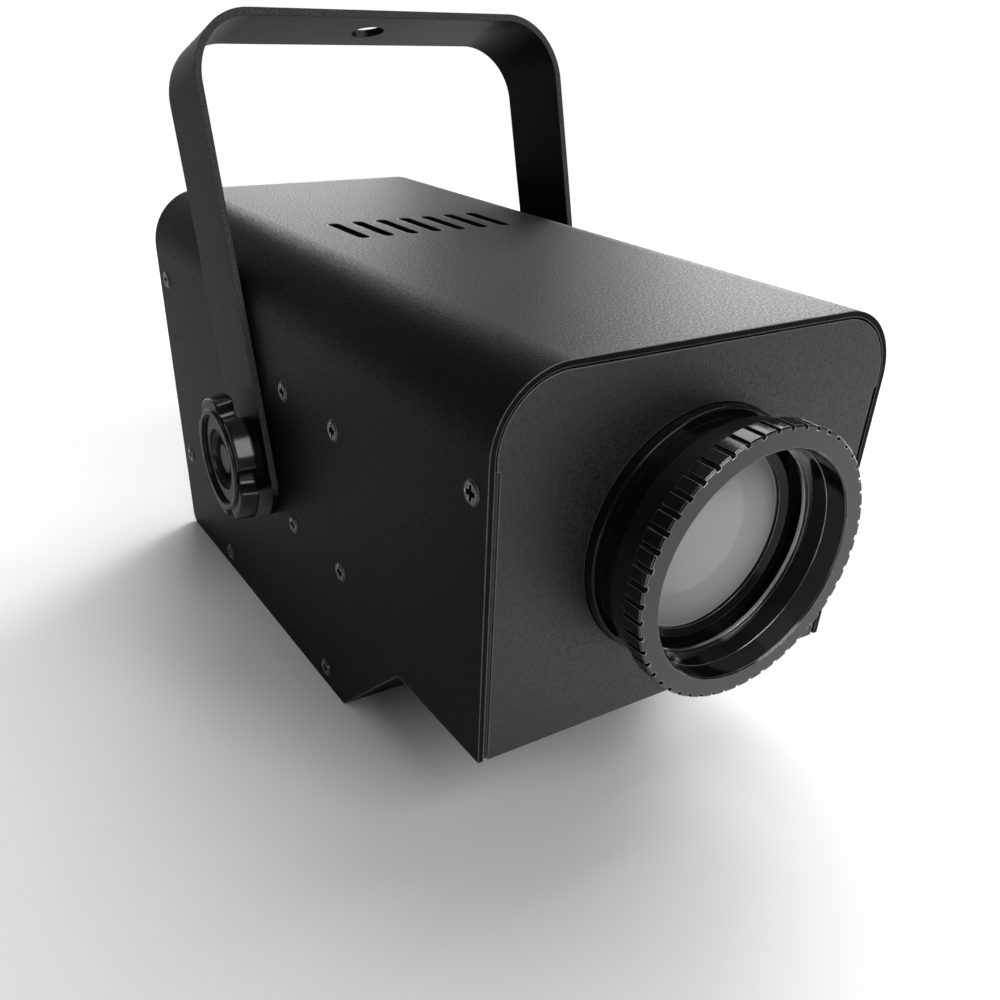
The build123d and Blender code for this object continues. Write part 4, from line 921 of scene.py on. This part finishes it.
def woven_cloth():
    material, tree, place = start_material("black_painted_shade_cloth")
    scale = wave_length_at_scale_one / cloth_thread
    upright, level = [add_node(tree, "TexWave", {"bands_direction": way},
                               {"Vector": place, "Scale": scale, "Distortion": 0.5}).outputs["Fac"]
                      for way in ("X", "Z")]
    raised = calculate(tree, "MAXIMUM", upright, level)
    colour = blend(tree, raised, "#040404", "#1a1a1b")
    normal = relief(tree, raised, 0.5, thread_relief)
    finish_material(tree, {"Base Color": colour, "Roughness": 0.9, "Specular IOR Level": 0.2,
                           "Normal": normal})
    return material


cloth_outline = [(-cloth_side, cloth_low), (cloth_side, cloth_low),
                 (cloth_side, cloth_high), (-cloth_side, cloth_high)]
# The black cloth is painted shade: a dark sheet where the inside of the box would lie in shade.
shade_cloth_piece = thin_plates("exhaust_painted_shade_cloth", [cloth_outline], rear_face - panel_sheet - 2 * ink_height)
shade_cloth_piece.data.materials.append(woven_cloth())

# %% [markdown]
# The display has three digits of seven bars, the usual way to show a plain number. A bar is a long
# hexagon, so that neighbours meet at a slant. The lit bars glow red and the others are just visible.

# %% Digits
digit_width = 5.5 * mm
digit_height = 10 * mm
bar_width = 1.1 * mm
bar_gap = 0.15 * mm
digit_pitch = 9 * mm
shown_number = "128"
lit_bars = {"1": "bc", "2": "abged", "8": "abcdefg"}


def bar_outline(start, end):
    """A long hexagon between two points, in (x, z)."""
    a = Vector(start)
    b = Vector(end)
    along = (b - a).normalized()
    side = Vector((-along.y, along.x)) * bar_width / 2
    a = a + along * bar_gap
    b = b - along * bar_gap
    tip = along * bar_width / 2
    return [tuple(p) for p in (a, a + tip + side, b - tip + side, b, b - tip - side, a + tip - side)]


def digit_bars(centre_x, centre_z):
    """The seven bars of a digit that is read from behind, where X runs to the left."""
    left = centre_x + digit_width / 2
    right_side = centre_x - digit_width / 2
    top = centre_z + digit_height / 2
    low = centre_z - digit_height / 2
    return {"a": bar_outline((left, top), (right_side, top)),
            "b": bar_outline((right_side, top), (right_side, centre_z)),
            "c": bar_outline((right_side, centre_z), (right_side, low)),
            "d": bar_outline((right_side, low), (left, low)),
            "e": bar_outline((left, low), (left, centre_z)),
            "f": bar_outline((left, centre_z), (left, top)),
            "g": bar_outline((left, centre_z), (right_side, centre_z))}


def lit_red(name, code, glow):
    material, tree, place = start_material(name)
    speckle = noise(tree, place, mould_grain)
    gloss = spread(tree, speckle, 0.2, 0.35)
    finish_material(tree, {"Base Color": linear(code), "Roughness": gloss, "IOR": 1.49,
                           "Emission Color": linear(code), "Emission Strength": glow})
    return material


window = middle_of("display")
window_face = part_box("display")[1][1]
lit = []
unlit = []
for index, digit in enumerate(shown_number):
    bars = digit_bars(window.x + digit_pitch * (1 - index), window.z)
    for letter, outline in bars.items():
        (lit if letter in lit_bars[digit] else unlit).append(outline)
lit_piece = thin_plates("display_lit_bars", lit, window_face)
lit_piece.data.materials.append(lit_red("lit_red_bar", "#ff2a1a", 1.0))
unlit_piece = thin_plates("display_unlit_bars", unlit, window_face)
unlit_piece.data.materials.append(lit_red("unlit_red_bar", "#2b0d0d", 0.0))

# %% [markdown]
# Under each button is a printed sign in white ink: back, down, up and enter, drawn as plain shapes.
# Screen ink is flat and slightly porous, so the white is a little uneven.

# %% Printed signs and frames
sign_size = 3.2 * mm
sign_rise = 7 * mm
frame_line = 0.35 * mm
frame_half_width = 19.5 * mm
frame_half_height = 10.5 * mm


def white_ink():
    material, tree, place = start_material("white_screen_ink")
    pores = noise(tree, place, mould_grain, 3)
    colour = blend(tree, pores, "#c9c9c6", "#e6e6e3")
    finish_material(tree, {"Base Color": colour, "Roughness": 0.6, "IOR": 1.5})
    return material


def arrow(centre_x, centre_z, way):
    """A solid triangle that points along way, in (x, z)."""
    ahead_way = Vector(way) * sign_size / 2
    side = Vector((-ahead_way.y, ahead_way.x))
    centre = Vector((centre_x, centre_z))
    return [tuple(centre + ahead_way), tuple(centre - ahead_way + side), tuple(centre - ahead_way - side)]


def square(centre_x, centre_z, half):
    return [(centre_x - half, centre_z - half), (centre_x + half, centre_z - half),
            (centre_x + half, centre_z + half), (centre_x - half, centre_z + half)]


def line_frame(centre, half_x, half_z):
    """Four thin lines round a place."""
    x, z = centre.x, centre.z
    top = [(x - half_x, z + half_z - frame_line), (x + half_x, z + half_z - frame_line),
           (x + half_x, z + half_z), (x - half_x, z + half_z)]
    low = [(px, pz - 2 * half_z + frame_line) for px, pz in top]
    side = [(x - half_x, z - half_z + frame_line), (x - half_x + frame_line, z - half_z + frame_line),
            (x - half_x + frame_line, z + half_z - frame_line), (x - half_x, z + half_z - frame_line)]
    other = [(px + 2 * half_x - frame_line, pz) for px, pz in side]
    return [top, low, side, other]


buttons = [middle_of("menu_button_" + str(number)) for number in (1, 2, 3, 4)]
sign_z = buttons[0].z - sign_rise
signs = [arrow(buttons[3].x, sign_z, (1, 0)), arrow(buttons[2].x, sign_z, (0, -1)),
         arrow(buttons[1].x, sign_z, (0, 1)), square(buttons[0].x, sign_z, sign_size / 2)]
signs += line_frame(window, frame_half_width, frame_half_height)
print_piece = thin_plates("rear_panel_print", signs, rear_face)
print_piece.data.materials.append(white_ink())
